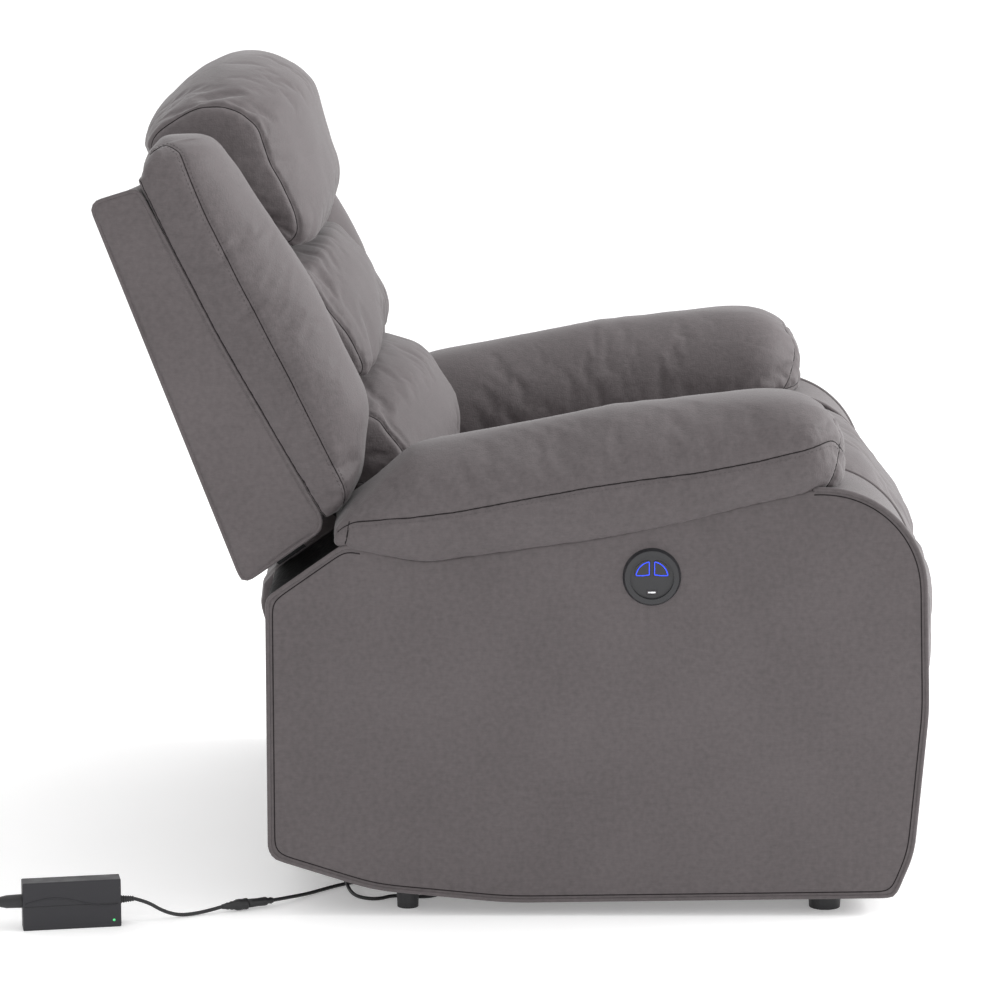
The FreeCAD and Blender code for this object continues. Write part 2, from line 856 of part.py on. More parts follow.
def adapter_end(sign):
    """The middle of an end face of the adapter and the direction out of it."""
    turn = Rotation(Vector(0, 0, 1), ADAPTER_TURN)
    along = turn.multVec(Vector(0, sign, 0))
    return ADAPTER_CENTRE + along * (ADAPTER_SIZE[1] / 2), along


def adapter():
    width, length, height = ADAPTER_SIZE
    case = doc.addObject("Part::Box", "adapter_block")
    case.Length = width
    case.Width = length
    case.Height = height
    turn = Rotation(Vector(0, 0, 1), ADAPTER_TURN)
    case.Placement = Placement(ADAPTER_CENTRE - turn.multVec(Vector(width, length, height) * 0.5), turn)
    rounded_case = doc.addObject("Part::Fillet", "adapter_case")
    rounded_case.Base = case
    rounded_case.Edges = [(number, 1.5, 1.5) for number in range(1, 13)]
    keep(rounded_case, "adapter")


def cords():
    gland_face = Vector(-30, 152, 255)
    gland_shape = [(0, 8.0), (0.3, 8.0), (0.301, 5.5), (1, 3.4)]
    gland = tapered_body("gland", gland_face, Vector(*CHAIR_LEAD[0]), gland_shape)
    keep(gland, "cable_gland")
    keep(tube("chair_cable", vectors(CHAIR_LEAD), size("lead_diameter")), "chair_lead")
    shape = [(0, 3.2), (0.14, 5.4), (0.5, 5.4), (0.501, 7.0), (0.72, 7.0), (1, 3.0)]
    keep(tapered_body("connector", *CONNECTOR, shape), "inline_connector")
    keep(tube("adapter_cable", vectors(ADAPTER_LEAD), size("lead_diameter")), "adapter_lead")
    adapter()
    front, ahead = adapter_end(-1)
    front = front + Vector(0, 0, 1)
    relief_end = Vector(*ADAPTER_LEAD[-1])
    keep(tapered_body("relief", front, relief_end, [(0, 5.0), (1, 3.4)]), "strain_relief")
    rear, behind = adapter_end(1)
    rear = rear + Vector(0, 0, 5)
    mains_shape = [(0, 8.5), (0.5, 8.0), (1, 4.0)]
    keep(tapered_body("mains_body", rear, Vector(*MAINS_LEAD[0]), mains_shape), "mains_connector")
    lead = tube("mains_cable", vectors(MAINS_LEAD), size("mains_diameter"))
    tail = tube("mains_end", vectors(MAINS_TAIL), size("mains_diameter"))
    keep(group("mains_runs", [lead, tail]), "mains_lead")
    outside = rod("coil_outside", str(COIL_OUTER), COIL_CENTRE, COIL_CENTRE + Vector(0, 0, COIL_HEIGHT))
    inside = rod("coil_inside", str(COIL_INNER), COIL_CENTRE, COIL_CENTRE + Vector(0, 0, COIL_HEIGHT))
    keep(cut("coil", outside, inside), "mains_coil")
    plug()


def plug():
    """A flat two-pin mains plug, lying on its broad face."""
    body = doc.addObject("Part::Wedge", "plug_body")
    body.Xmin, body.Xmax = -8.0, 8.0
    body.X2min, body.X2max = -17.0, 17.0
    body.Zmin, body.Zmax = 0.0, 13.7
    body.Z2min, body.Z2max = 0.0, 13.7
    body.Ymin, body.Ymax = 0.0, 35.0
    body.Placement = Placement(Vector(PLUG_START.x, PLUG_START.y, 0), Rotation())
    pins = []
    for sign in (-1, 1):
        start = Vector(PLUG_START.x + sign * 9.3, PLUG_START.y + 34, 6.85)
        pins.append(rod(f"plug_pin_{sign}", "2.0", start, start + Vector(0, 20, 0)))
    keep(fuse("plug", [body, *pins]), "mains_plug")


def write_parts():
    doc.recompute()
    broken = [thing.Name for thing in doc.Objects if {"Invalid", "Error"} & set(thing.State)]
    if broken:
        raise RuntimeError(f"objects that failed: {broken}")
    for thing in kept:
        if thing.Shape.isNull() or not thing.Shape.isValid() or not thing.Shape.Solids:
            raise RuntimeError(f"{thing.Label} has no valid solid")
    os.makedirs("parts", exist_ok=True)
    for thing in kept:
        thing.Shape.exportStep(os.path.join("parts", f"{thing.Label}.step"))
    print(f"{len(kept)} sub-parts written")


for side, sign in SIDES:
    arm_cover(side, sign)
    arm_boards(side, sign)
    arm_pad(side, sign)
    foot("front", side, sign)
    foot("rear", side, sign)
arm_battens()
seat()
backrest()
steelwork()
torque_tube()
footrest()
actuator()
control_panel()
cords()
write_parts()
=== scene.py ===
"""Materials, upholstery, cords, light and camera for a powered recliner armchair.

Metres, Z up. The front of the chair is -Y, the sitter's left is +X.
"""

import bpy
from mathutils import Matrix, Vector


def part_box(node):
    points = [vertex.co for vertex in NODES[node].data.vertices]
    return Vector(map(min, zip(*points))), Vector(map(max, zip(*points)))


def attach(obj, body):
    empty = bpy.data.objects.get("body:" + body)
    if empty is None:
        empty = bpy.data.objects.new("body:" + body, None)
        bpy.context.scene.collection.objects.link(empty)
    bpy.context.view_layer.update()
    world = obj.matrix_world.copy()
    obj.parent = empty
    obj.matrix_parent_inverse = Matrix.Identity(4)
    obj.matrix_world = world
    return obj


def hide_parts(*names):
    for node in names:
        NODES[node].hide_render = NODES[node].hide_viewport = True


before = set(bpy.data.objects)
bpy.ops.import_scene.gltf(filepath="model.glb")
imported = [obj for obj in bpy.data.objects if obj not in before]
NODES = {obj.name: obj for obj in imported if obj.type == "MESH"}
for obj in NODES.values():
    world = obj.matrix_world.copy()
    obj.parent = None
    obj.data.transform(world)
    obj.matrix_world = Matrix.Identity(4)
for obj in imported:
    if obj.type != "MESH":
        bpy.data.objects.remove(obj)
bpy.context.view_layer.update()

import math

import bpy
import numpy as np
from mathutils import Vector
from mathutils.bvhtree import BVHTree
from mathutils.kdtree import KDTree
from mathutils.noise import noise

MM = 0.001
SCENE = bpy.context.scene
MATERIALS = {}
SIDES = (("left", 1), ("right", -1))  # with the sign of x


# ---------------------------------------------------------------- camera and light

CAMERA_AT = (-5.28, 0.03, 1.407)
CAMERA_PITCH = 10.4  # degrees below the horizontal
CAMERA_LENS = 145.15  # mm, on a 36 mm sensor


def add_camera():
    data = bpy.data.cameras.new("camera")
    data.lens = CAMERA_LENS
    data.sensor_width = 36.0
    data.clip_end = 100.0
    camera = bpy.data.objects.new("camera", data)
    SCENE.collection.objects.link(camera)
    camera.location = CAMERA_AT
    pitch = math.radians(CAMERA_PITCH)
    ahead = Vector((math.cos(pitch), 0.0, -math.sin(pitch)))
    camera.rotation_euler = ahead.to_track_quat("-Z", "Y").to_euler()
    SCENE.camera = camera


def add_lamp(name, place, aim, size, watts):
    data = bpy.data.lights.new(name, "AREA")
    data.shape = "RECTANGLE"
    data.size, data.size_y = size
    data.energy = watts
    lamp = bpy.data.objects.new(name, data)
    SCENE.collection.objects.link(lamp)
    lamp.location = place
    lamp.rotation_euler = (Vector(aim) - Vector(place)).to_track_quat("-Z", "Y").to_euler()


def add_studio():
    world = bpy.data.worlds.new("studio")
    SCENE.world = world
    world.use_nodes = True
    world.node_tree.nodes["Background"].inputs["Color"].default_value = (1.0, 1.0, 1.0, 1.0)
    world.node_tree.nodes["Background"].inputs["Strength"].default_value = 1.0
    SCENE.view_settings.view_transform = "Standard"
    add_lamp("overhead", (0.0, -0.3, 3.4), (0.0, 0.0, 0.5), (3.0, 3.0), 22.0)
    add_lamp("front_key", (0.2, -4.0, 2.3), (0.0, 0.0, 0.6), (2.0, 2.0), 170.0)
    floor = mesh_object("studio_floor", *flat_grid(40.0, 8))
    floor.data.materials.append(MATERIALS["studio_floor"])


def flat_grid(width, cells):
    """A level square grid round the origin, as corners and faces."""
    line = np.linspace(-width / 2, width / 2, cells + 1)
    corners = [(x, y, 0.0) for x in line for y in line]
    row = cells + 1
    faces = [
        (i * row + j, (i + 1) * row + j, (i + 1) * row + j + 1, i * row + j + 1)
        for i in range(cells)
        for j in range(cells)
    ]
    return corners, faces


# ---------------------------------------------------------------- materials


def new_material(name):
    made = bpy.data.materials.new(name)
    made.use_nodes = True
    tree = made.node_tree
    return made, tree, tree.nodes["Principled BSDF"]


def noise_node(tree, scale, detail=3.0, stretch=(1.0, 1.0, 1.0)):
    """A noise value over the piece's own coordinates."""
    place = tree.nodes.new("ShaderNodeTexCoord")
    mapping = tree.nodes.new("ShaderNodeMapping")
    mapping.inputs["Scale"].default_value = stretch
    tree.links.new(place.outputs["Object"], mapping.inputs["Vector"])
    texture = tree.nodes.new("ShaderNodeTexNoise")
    texture.inputs["Scale"].default_value = scale
    texture.inputs["Detail"].default_value = detail
    tree.links.new(mapping.outputs["Vector"], texture.inputs["Vector"])
    return texture.outputs["Fac"]


def cells_node(tree, scale):
    """Pebbled cells over the piece's own coordinates."""
    place = tree.nodes.new("ShaderNodeTexCoord")
    texture = tree.nodes.new("ShaderNodeTexVoronoi")
    texture.inputs["Scale"].default_value = scale
    tree.links.new(place.outputs["Object"], texture.inputs["Vector"])
    return texture.outputs["Distance"]


def combine(tree, operation, first, second):
    made = tree.nodes.new("ShaderNodeMath")
    made.operation = operation
    for socket, value in zip(made.inputs, (first, second)):
        if isinstance(value, float):
            socket.default_value = value
        else:
            tree.links.new(value, socket)
    return made.outputs["Value"]


def weighted(tree, *parts):
    """The sum of some values, each given as (value, weight)."""
    total, *others = [combine(tree, "MULTIPLY", value, weight) for value, weight in parts]
    for share in others:
        total = combine(tree, "ADD", total, share)
    return total


def spread(tree, value, low, high, bottom=0.3, top=0.7):
    made = tree.nodes.new("ShaderNodeMapRange")
    made.inputs["From Min"].default_value = bottom
    made.inputs["From Max"].default_value = top
    made.inputs["To Min"].default_value = low
    made.inputs["To Max"].default_value = high
    tree.links.new(value, made.inputs["Value"])
    return made.outputs["Result"]


def blended_colour(tree, factor, first, second):
    made = tree.nodes.new("ShaderNodeMix")
    made.data_type = "RGBA"
    made.inputs["A"].default_value = (*first, 1.0)
    made.inputs["B"].default_value = (*second, 1.0)
    tree.links.new(factor, made.inputs["Factor"])
    return made.outputs["Result"]


def two_tone(tree, shader, tone, dark, light, bottom=0.3, top=0.7):
    colour = blended_colour(tree, spread(tree, tone, 0.0, 1.0, bottom, top), dark, light)
    tree.links.new(colour, shader.inputs["Base Color"])


def add_bump(tree, shader, height, strength, depth):
    bump = tree.nodes.new("ShaderNodeBump")
    bump.inputs["Strength"].default_value = strength
    bump.inputs["Distance"].default_value = depth
    tree.links.new(height, bump.inputs["Height"])
    tree.links.new(bump.outputs["Normal"], shader.inputs["Normal"])


def fabric(name, dark, light, weave=620.0, strength=0.55, gloss=0.35, sheen=0.18):
    """Brushed leather-look cloth: pebbled grain, crossed threads and soft broad shading."""
    made, tree, shader = new_material(name)
    across = noise_node(tree, weave, 2.0, (1.0, 0.16, 1.0))
    upright = noise_node(tree, weave, 2.0, (1.0, 1.0, 0.16))
    pebble = cells_node(tree, weave * 0.75)
    threads = combine(tree, "ADD", across, upright)
    grain = combine(tree, "ADD", threads, combine(tree, "MULTIPLY", pebble, 0.8))
    broad = noise_node(tree, 9.0, 4.0)
    mottle = noise_node(tree, 150.0, 3.0)
    tone = weighted(tree, (broad, 0.25), (mottle, 0.55), (across, 0.2))
    two_tone(tree, shader, tone, dark, light, 0.35, 0.65)
    tree.links.new(spread(tree, mottle, 0.55, 0.72), shader.inputs["Roughness"])
    shader.inputs["Specular IOR Level"].default_value = gloss
    shader.inputs["Sheen Weight"].default_value = sheen
    shader.inputs["Sheen Roughness"].default_value = 0.45
    add_bump(tree, shader, grain, strength, 0.0004)
    MATERIALS[name] = made


def solid(name, dark, light, scale, rough, metallic=0.0, stretch=(1.0, 1.0, 1.0), strength=0.2, coat=0.0):
    """Metal, plastic or rubber: two tones, uneven roughness and a fine surface."""
    made, tree, shader = new_material(name)
    fine = noise_node(tree, scale, 4.0, stretch)
    broad = noise_node(tree, scale * 0.05, 3.0)
    two_tone(tree, shader, weighted(tree, (fine, 0.6), (broad, 0.4)), dark, light)
    tree.links.new(spread(tree, broad, *rough), shader.inputs["Roughness"])
    shader.inputs["Metallic"].default_value = metallic
    shader.inputs["Coat Weight"].default_value = coat
    add_bump(tree, shader, fine, strength, 0.0002)
    MATERIALS[name] = made


def wood(name, dark, light, rings):
    """Planks: stretched growth rings with pores."""
    made, tree, shader = new_material(name)
    growth = noise_node(tree, rings, 6.0, (1.0, 0.06, 1.0))
    pores = noise_node(tree, rings * 14.0, 2.0, (1.0, 0.05, 1.0))
    tone = weighted(tree, (growth, 0.7), (pores, 0.3))
    two_tone(tree, shader, tone, dark, light)
    tree.links.new(spread(tree, pores, 0.5, 0.75), shader.inputs["Roughness"])
    add_bump(tree, shader, tone, 0.35, 0.0005)
    MATERIALS[name] = made


def lit(name, colour, strength):
    """A glowing material with a slightly uneven glow: real lights for the buttons and the indicator, painted
    light for the USB bar.
    """
    made, tree, shader = new_material(name)
    uneven = noise_node(tree, 220.0, 2.0)
    dim = tuple(c * 0.6 for c in colour)
    shade = blended_colour(tree, spread(tree, uneven, 0.0, 1.0), dim, colour)
    tree.links.new(shade, shader.inputs["Base Color"])
    tree.links.new(shade, shader.inputs["Emission Color"])
    tree.links.new(spread(tree, uneven, 0.25, 0.45), shader.inputs["Roughness"])
    shader.inputs["Emission Strength"].default_value = strength
    MATERIALS[name] = made


FLOOR_GLOW = 0.24  # keeps the floor white round the chair's own soft shadow


def add_materials():
    fabric("upholstery", (0.078, 0.067, 0.069), (0.111, 0.096, 0.099))
    fabric("upholstery_back", (0.085, 0.073, 0.075), (0.118, 0.102, 0.105), 700.0, 0.45)
    # Near-black painted shade, without gloss or sheen, for the gap under the rear end of each arm pad.
    fabric("lining", (0.003, 0.003, 0.0032), (0.006, 0.006, 0.0062), 480.0, 0.4, 0.06, 0.0)
    fabric("thread", (0.066, 0.056, 0.058), (0.095, 0.082, 0.085), 1500.0, 0.3)
    # The seams are real; the seam tubes' near-black colour is painted shade for the creases along them.
    fabric("seam", (0.012, 0.010, 0.0105), (0.024, 0.020, 0.021), 1500.0, 0.3, 0.1, 0.04)
    wood("board", (0.30, 0.19, 0.10), (0.47, 0.33, 0.19), 55.0)
    wood("timber", (0.42, 0.27, 0.14), (0.62, 0.45, 0.27), 40.0)
    solid("spring_steel", (0.10, 0.10, 0.11), (0.20, 0.20, 0.21), 500.0, (0.3, 0.5), 1.0)
    solid("mechanism_steel", (0.016, 0.016, 0.018), (0.032, 0.032, 0.034), 420.0, (0.38, 0.55), 0.6)
    solid("pin_steel", (0.42, 0.42, 0.43), (0.62, 0.62, 0.62), 600.0, (0.22, 0.42), 1.0)
    solid("rod_steel", (0.50, 0.50, 0.51), (0.68, 0.68, 0.69), 500.0, (0.15, 0.3), 1.0, (1.0, 0.04, 1.0))
    solid("motor_plastic", (0.014, 0.014, 0.015), (0.028, 0.028, 0.030), 700.0, (0.42, 0.6))
    solid("foot_plastic", (0.012, 0.012, 0.013), (0.026, 0.026, 0.028), 800.0, (0.4, 0.6))
    solid("control_plastic", (0.010, 0.010, 0.012), (0.022, 0.022, 0.025), 900.0, (0.28, 0.42), coat=0.15)
    # The socket's metal shell is real, but its near-black colour is painted shade for the inside of the
    # socket.
    solid("usb_shell", (0.030, 0.030, 0.032), (0.060, 0.060, 0.064), 800.0, (0.3, 0.45), 1.0)
    solid("cable", (0.010, 0.010, 0.011), (0.020, 0.020, 0.022), 900.0, (0.4, 0.58), strength=0.15)
    adapter_tones = (0.010, 0.0098, 0.0130), (0.018, 0.0172, 0.0220)
    solid("adapter_plastic", *adapter_tones, 1100.0, (0.38, 0.52), strength=0.35)
    solid("plug_plastic", (0.011, 0.011, 0.012), (0.022, 0.022, 0.024), 900.0, (0.36, 0.52))
    solid("studio_floor", (0.88, 0.88, 0.88), (0.91, 0.91, 0.91), 6.0, (0.75, 0.9), strength=0.0)
    floor = MATERIALS["studio_floor"].node_tree.nodes["Principled BSDF"]
    floor.inputs["Emission Color"].default_value = (1.0, 1.0, 1.0, 1.0)
    floor.inputs["Emission Strength"].default_value = FLOOR_GLOW
    lit("button_light", (0.02, 0.06, 1.0), 2.2)
    # The USB bar's glow is painted light: a plastic bar given a glow so that it shows bright in its socket.
    lit("usb_tongue", (0.90, 0.92, 0.95), 0.5)
    lit("indicator", (0.10, 0.75, 0.25), 0.8)


def finish_cad():
    """Every CAD node shows the material of its slot."""
    for node in NODES.values():
        for held in node.material_slots:
            slot = held.material.name.split(".")[0]
            held.material = MATERIALS[slot]


# ---------------------------------------------------------------- meshes


def mesh_object(name, corners, faces):
    data = bpy.data.meshes.new(name)
    data.from_pydata([tuple(c) for c in corners], [], [tuple(f) for f in faces])
    data.update()
    data.polygons.foreach_set("use_smooth", [True] * len(data.polygons))
    made = bpy.data.objects.new(name, data)
    SCENE.collection.objects.link(made)
    return made


def placed(piece, body, slot, nodes=(), material=None):
    """Gives a finished piece its material and its body, and hides the CAD nodes that it stands for."""
    piece.data.materials.clear()
    piece.data.materials.append(MATERIALS[material or slot])
    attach(piece, body)
    if nodes:
        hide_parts(*nodes)
    return piece


def coords(mesh):
    flat = np.empty(len(mesh.vertices) * 3)
    mesh.vertices.foreach_get("co", flat)
    return flat.reshape(-1, 3)


def normals(mesh):
    flat = np.empty(len(mesh.vertices) * 3)
    mesh.vertices.foreach_get("normal", flat)
    return flat.reshape(-1, 3)


def move_to(mesh, places):
    mesh.vertices.foreach_set("co", np.asarray(places).ravel())
    mesh.update()


def distances(line):
    """How far along an open line each of its points is."""
    return np.concatenate([[0.0], np.cumsum(np.linalg.norm(np.diff(line, axis=0), axis=1))])


def closed_line(ring):
    return np.vstack([ring, ring[:1]])


def resampled(points, step, closed=True):
    """The same line with its points about `step` apart."""
    points = np.asarray(points, float)
    ring = closed_line(points) if closed else points
    along = distances(ring)
    count = max(4, int(round(along[-1] / step)))
    at = np.linspace(0.0, along[-1], count + 1)
    at = at[:-1] if closed else at
    return np.stack([np.interp(at, along, ring[:, k]) for k in range(ring.shape[1])], axis=1)


def rings_skin(rings):
    """Corners and faces of an open skin through rings of equal length."""
    count = len(rings[0])
    corners = [c for ring in rings for c in ring]
    faces = []
    for low in range(0, (len(rings) - 1) * count, count):
        faces += [
            (low + i, low + (i + 1) % count, low + count + (i + 1) % count, low + count + i)
            for i in range(count)
        ]
    return corners, faces


def welded(corners, faces):
    """The same skin with corners at one place made one, without the faces that vanish."""
    index = {}
    keys = [index.setdefault(tuple(np.round(c, 6)), len(index)) for c in corners]
    made = []
    for face in faces:
        ids = [keys[i] for i in face]
        ids = [a for a, b in zip(ids, ids[1:] + ids[:1]) if a != b]
        if len(ids) > 2:
            made.append(ids)
    return list(index), made


def rings_mesh(rings):
    """Corners and faces of a closed skin through rings of equal length, with a fan at each end."""
    corners, faces = rings_skin(rings)
    count = len(rings[0])
    first = len(corners)
    corners += [np.mean(rings[0], axis=0), np.mean(rings[-1], axis=0)]
    last = (len(rings) - 1) * count
    faces += [((i + 1) % count, i, first) for i in range(count)]
    faces += [(last + i, last + (i + 1) % count, first + 1) for i in range(count)]
    return corners, faces


def side_loop(node, step):
    """A node's outline in (y, z), read from its own flat end at the greatest x."""
    mesh = NODES[node].data
    places = coords(mesh)
    flat_at = places[:, 0].max() - 0.05 * MM
    edges = {}
    for face in mesh.polygons:
        if all(places[i][0] > flat_at for i in face.vertices):
            keys = [tuple(np.round(places[i][1:], 6)) for i in face.vertices]
            for pair in zip(keys, keys[1:] + keys[:1]):
                name = tuple(sorted(pair))
                edges[name] = edges.get(name, 0) + 1
    links = {}
    for (a, b), uses in edges.items():
        if uses == 1:
            links.setdefault(a, []).append(b)
            links.setdefault(b, []).append(a)
    best, seen = [], set()
    for start in links:
        if start in seen:
            continue
        chain, here, before = [], start, None
        while here not in seen:
            seen.add(here)
            chain.append(here)
            nexts = [n for n in links[here] if n != before]
            before, here = here, nexts[0] if nexts else here
        if len(chain) > len(best):
            best = chain
    loop = np.array(best)
    turn = np.roll(loop, -1, axis=0)
    if np.sum(loop[:, 0] * turn[:, 1] - turn[:, 0] * loop[:, 1]) < 0:
        loop = loop[::-1]
    return resampled(loop, step)


def spine_of(loop):
    """The ends of a short line inside an outline, along its longer way."""
    centre = loop.mean(axis=0)
    values, ways = np.linalg.eigh(np.cov((loop - centre).T))
    spans = [np.ptp((loop - centre) @ ways[:, k]) / 2 for k in (0, 1)]
    reach = max(0.0, (spans[1] - spans[0]) * 0.9)
    return centre - ways[:, 1] * reach, centre + ways[:, 1] * reach


def nearest_on(points, line):
    """For each point, the nearest place on an open line of points."""
    best = np.full(len(points), np.inf)
    found = np.zeros_like(points)
    for a, b in zip(line[:-1], line[1:]):
        way = b - a
        share = np.clip(((points - a) @ way) / max(way @ way, 1e-12), 0.0, 1.0)
        place = a + share[:, None] * way
        gap = np.linalg.norm(points - place, axis=1)
        closer = gap < best
        best[closer] = gap[closer]
        found[closer] = place[closer]
    return found, best


def eased(value, low, high):
    share = np.clip((value - low) / (high - low), 0.0, 1.0)
    return share * share * (3.0 - 2.0 * share)


SEAM_SOFTENING = 16  # rounds of smoothing of an outline at a cushion's end seams
END_CROWN = 0.006
RING_SPACING = 0.012


def smoothed_ring(ring, rounds):
    """A closed line with its corners softened."""
    for _ in range(rounds):
        ring = (np.roll(ring, 1, axis=0) + 2.0 * ring + np.roll(ring, -1, axis=0)) / 4.0
    return ring


def lofted(loop, ends, axes, draws, roll):
    """A crowned cushion between two x, whose outline draws in towards both end seams.

    `axes` is (a point the cushion rests on, its face's way out, the way up its face), in (y, z).
    `draws` is how far its face, top, underside and rear draw in at the seams.
    Returns the skin and the two seams."""
    origin, out, up = (np.array(a, float) for a in axes)
    face, top, under, rear = draws
    across, along = (loop - origin) @ out, (loop - origin) @ up
    centre = (along.max() + along.min()) / 2
    half_height = (along.max() - along.min()) / 2
    ahead = across / np.where(across > 0, across.max(), max(-across.min(), 1e-6))
    above = (along - centre) / half_height
    move = np.outer(-np.where(ahead > 0, face * ahead, -rear * np.abs(ahead)), out)
    move -= np.outer(np.where(above > 0, top, under) * above, up)
    count = int(round((ends[1] - ends[0]) / RING_SPACING))
    middle, half = sum(ends) / 2, (ends[1] - ends[0]) / 2
    rings = []
    softened = smoothed_ring(loop + move, SEAM_SOFTENING)
    for share in np.linspace(-1.0, 1.0, count + 1):
        drawn = loop + (softened - loop) * abs(share) ** roll
        rings.append(np.column_stack([np.full(len(loop), middle + half * share), drawn]))
    seams = [rings[0].copy(), rings[-1].copy()]
    caps = []
    for sign, edge in ((-1, seams[0]), (1, seams[1])):
        inward, _ = nearest_on(edge[:, 1:], np.array(spine_of(edge[:, 1:])))
        cap = []
        for share in (0.12, 0.3, 0.5, 0.72, 0.92):
            ring = edge.copy()
            ring[:, 1:] += (inward - ring[:, 1:]) * share
            ring[:, 0] += sign * END_CROWN * (1.0 - (1.0 - share) ** 2)
            cap.append(ring)
        caps.append(cap)
    return rings_mesh(caps[0][::-1] + rings + caps[1]), [closed_line(seam) for seam in seams]


def evaluated(piece):
    bpy.context.view_layer.update()
    return bpy.data.meshes.new_from_object(piece.evaluated_get(bpy.context.evaluated_depsgraph_get()))


def modified(piece, kind, **settings):
    """Applies one modifier to a piece."""
    made = piece.modifiers.new(kind.lower(), kind)
    for key, value in settings.items():
        setattr(made, key, value)
    mesh = evaluated(piece)
    piece.modifiers.clear()
    old = piece.data
    piece.data = mesh
    bpy.data.meshes.remove(old)
    mesh.polygons.foreach_set("use_smooth", [True] * len(mesh.polygons))


CLOTH_FRAMES = 18
CLOTH_PRESSURE = 4.0


def blown_up(piece, held, cap, shrink):
    """Swells a closed skin as cloth under pressure, with the points in `held` fixed."""
    before = coords(piece.data)
    group = piece.vertex_groups.new(name="held")
    group.add([int(i) for i in np.flatnonzero(held)], 1.0, "REPLACE")
    cloth = piece.modifiers.new("cloth", "CLOTH")
    rules = cloth.settings
    rules.quality = 6
    rules.mass = 0.3
    rules.tension_stiffness = rules.compression_stiffness = 12.0
    rules.shear_stiffness = 5.0
    rules.bending_stiffness = 0.6
    rules.vertex_group_mass = "held"
    rules.use_pressure = True
    rules.uniform_pressure_force = CLOTH_PRESSURE
    rules.shrink_min = -shrink
    rules.effector_weights.gravity = 0.0
    cloth.collision_settings.use_collision = False
    cloth.point_cache.frame_start = 1
    cloth.point_cache.frame_end = CLOTH_FRAMES
    for step in range(1, CLOTH_FRAMES + 1):
        SCENE.frame_set(step)
    after = coords(evaluated(piece))
    piece.modifiers.clear()
    SCENE.frame_set(1)
    move = after - before
    far = np.linalg.norm(move, axis=1)
    far[far == 0.0] = 1e-9
    move_to(piece.data, before + move * (cap * np.tanh(far / cap) / far)[:, None])


def near_lines(points, lines, reach):
    """Which points lie within `reach` of any of the lines."""
    tree, _ = tree_of(lines)
    return np.array([tree.find(p)[2] < reach for p in points])


TREE_STEP = 0.002
LINE_OFFSET = 7.0  # keeps the noise along one line apart from the next one's


def tree_of(lines):
    """A search tree over closely spaced points of the lines, and each point's distance along."""
    dense = [resampled(line, TREE_STEP, closed=False) for line in lines]
    starts = np.arange(len(dense)) * LINE_OFFSET
    alongs = np.concatenate([np.arange(len(line)) * TREE_STEP + start for line, start in zip(dense, starts)])
    tree = KDTree(len(alongs))
    for i, p in enumerate(np.vstack(dense)):
        tree.insert(p, i)
    tree.balance()
    return tree, alongs


def cushion(name, skin, lines, loop, span, cap, shrink, voxel, still):
    """A padded piece: remeshed, blown up with its seams held, and brought to its outline and span in x.

    No point moves by more than `cap` as it swells, and those that `still` picks don't move.
    Returns the piece and its seam lines."""
    piece = mesh_object(name, *skin)
    modified(piece, "REMESH", mode="VOXEL", voxel_size=voxel)
    modified(piece, "SMOOTH", factor=0.5, iterations=4)
    places = coords(piece.data)
    held = near_lines(places, lines, voxel * 0.9) | still(places, normals(piece.data))
    blown_up(piece, held, cap, shrink)
    modified(piece, "SUBSURF", levels=1, render_levels=1)
    places = coords(piece.data)
    low, high = places[:, 0].min(), places[:, 0].max()
    scale = (span[1] - span[0]) / (high - low)
    places[:, 0] = span[0] + (places[:, 0] - low) * scale
    move_to(piece.data, places)
    lines = [line * (scale, 1.0, 1.0) + (span[0] - low * scale, 0.0, 0.0) for line in lines]
    lines = follow_outline(piece, lines, loop)
    return piece, lines


OUTLINE_BINS = 120  # directions round an outline's centre


def follow_outline(piece, lines, loop):
    """Scales a skin about its outline's centre, so that its side view has that outline.

    Returns its lines, moved with it."""
    bins = OUTLINE_BINS
    centre = (loop.max(axis=0) + loop.min(axis=0)) / 2
    turns = np.linspace(-math.pi, math.pi, bins + 1)[:-1] + math.pi / bins

    def polar(flat):
        away = flat - centre
        return np.arctan2(away[:, 1], away[:, 0]), np.linalg.norm(away, axis=1)

    def reach(flat):
        angle, radius = polar(flat)
        slot = np.clip(((angle + math.pi) / (2.0 * math.pi) * bins).astype(int), 0, bins - 1)
        best = np.zeros(bins)
        np.maximum.at(best, slot, radius)
        return np.interp(turns, turns[best > 0], best[best > 0], period=2.0 * math.pi)

    places = coords(piece.data)
    ratio = reach(resampled(loop, 0.0008)) / reach(places[:, 1:])
    ratio = sum(np.roll(ratio, k) for k in (-1, 0, 1)) / 3.0

    def moved(points):
        angle, _ = polar(points[:, 1:])
        scale = np.interp(angle, turns, ratio, period=2.0 * math.pi)
        return np.column_stack([points[:, 0], centre + (points[:, 1:] - centre) * scale[:, None]])

    move_to(piece.data, moved(places))
    return [moved(line) for line in lines]


def node_box(node):
    low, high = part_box(node)
    return np.array(low), np.array(high)


def bvh_of(piece):
    mesh = piece.data
    return BVHTree.FromPolygons([v.co for v in mesh.vertices], [p.vertices for p in mesh.polygons])


def smoothed(line, rounds):
    """An open line with its small wiggles evened out and its ends kept."""
    line = np.array(line, float)
    for _ in range(rounds):
        line[1:-1] = (line[:-2] + 2.0 * line[1:-1] + line[2:]) / 4.0
    return line


def snapped(piece, line, rounds=0):
    """The line laid onto the piece's skin, with the skin's normals there."""
    skin = bvh_of(piece)
    for again in (True, False) if rounds else (False,):
        found = [skin.find_nearest(Vector(p))[:2] for p in line]
        line, ways = np.array([f[0] for f in found]), np.array([f[1] for f in found])
        if again:
            line = smoothed(line, rounds)
    return line, ways


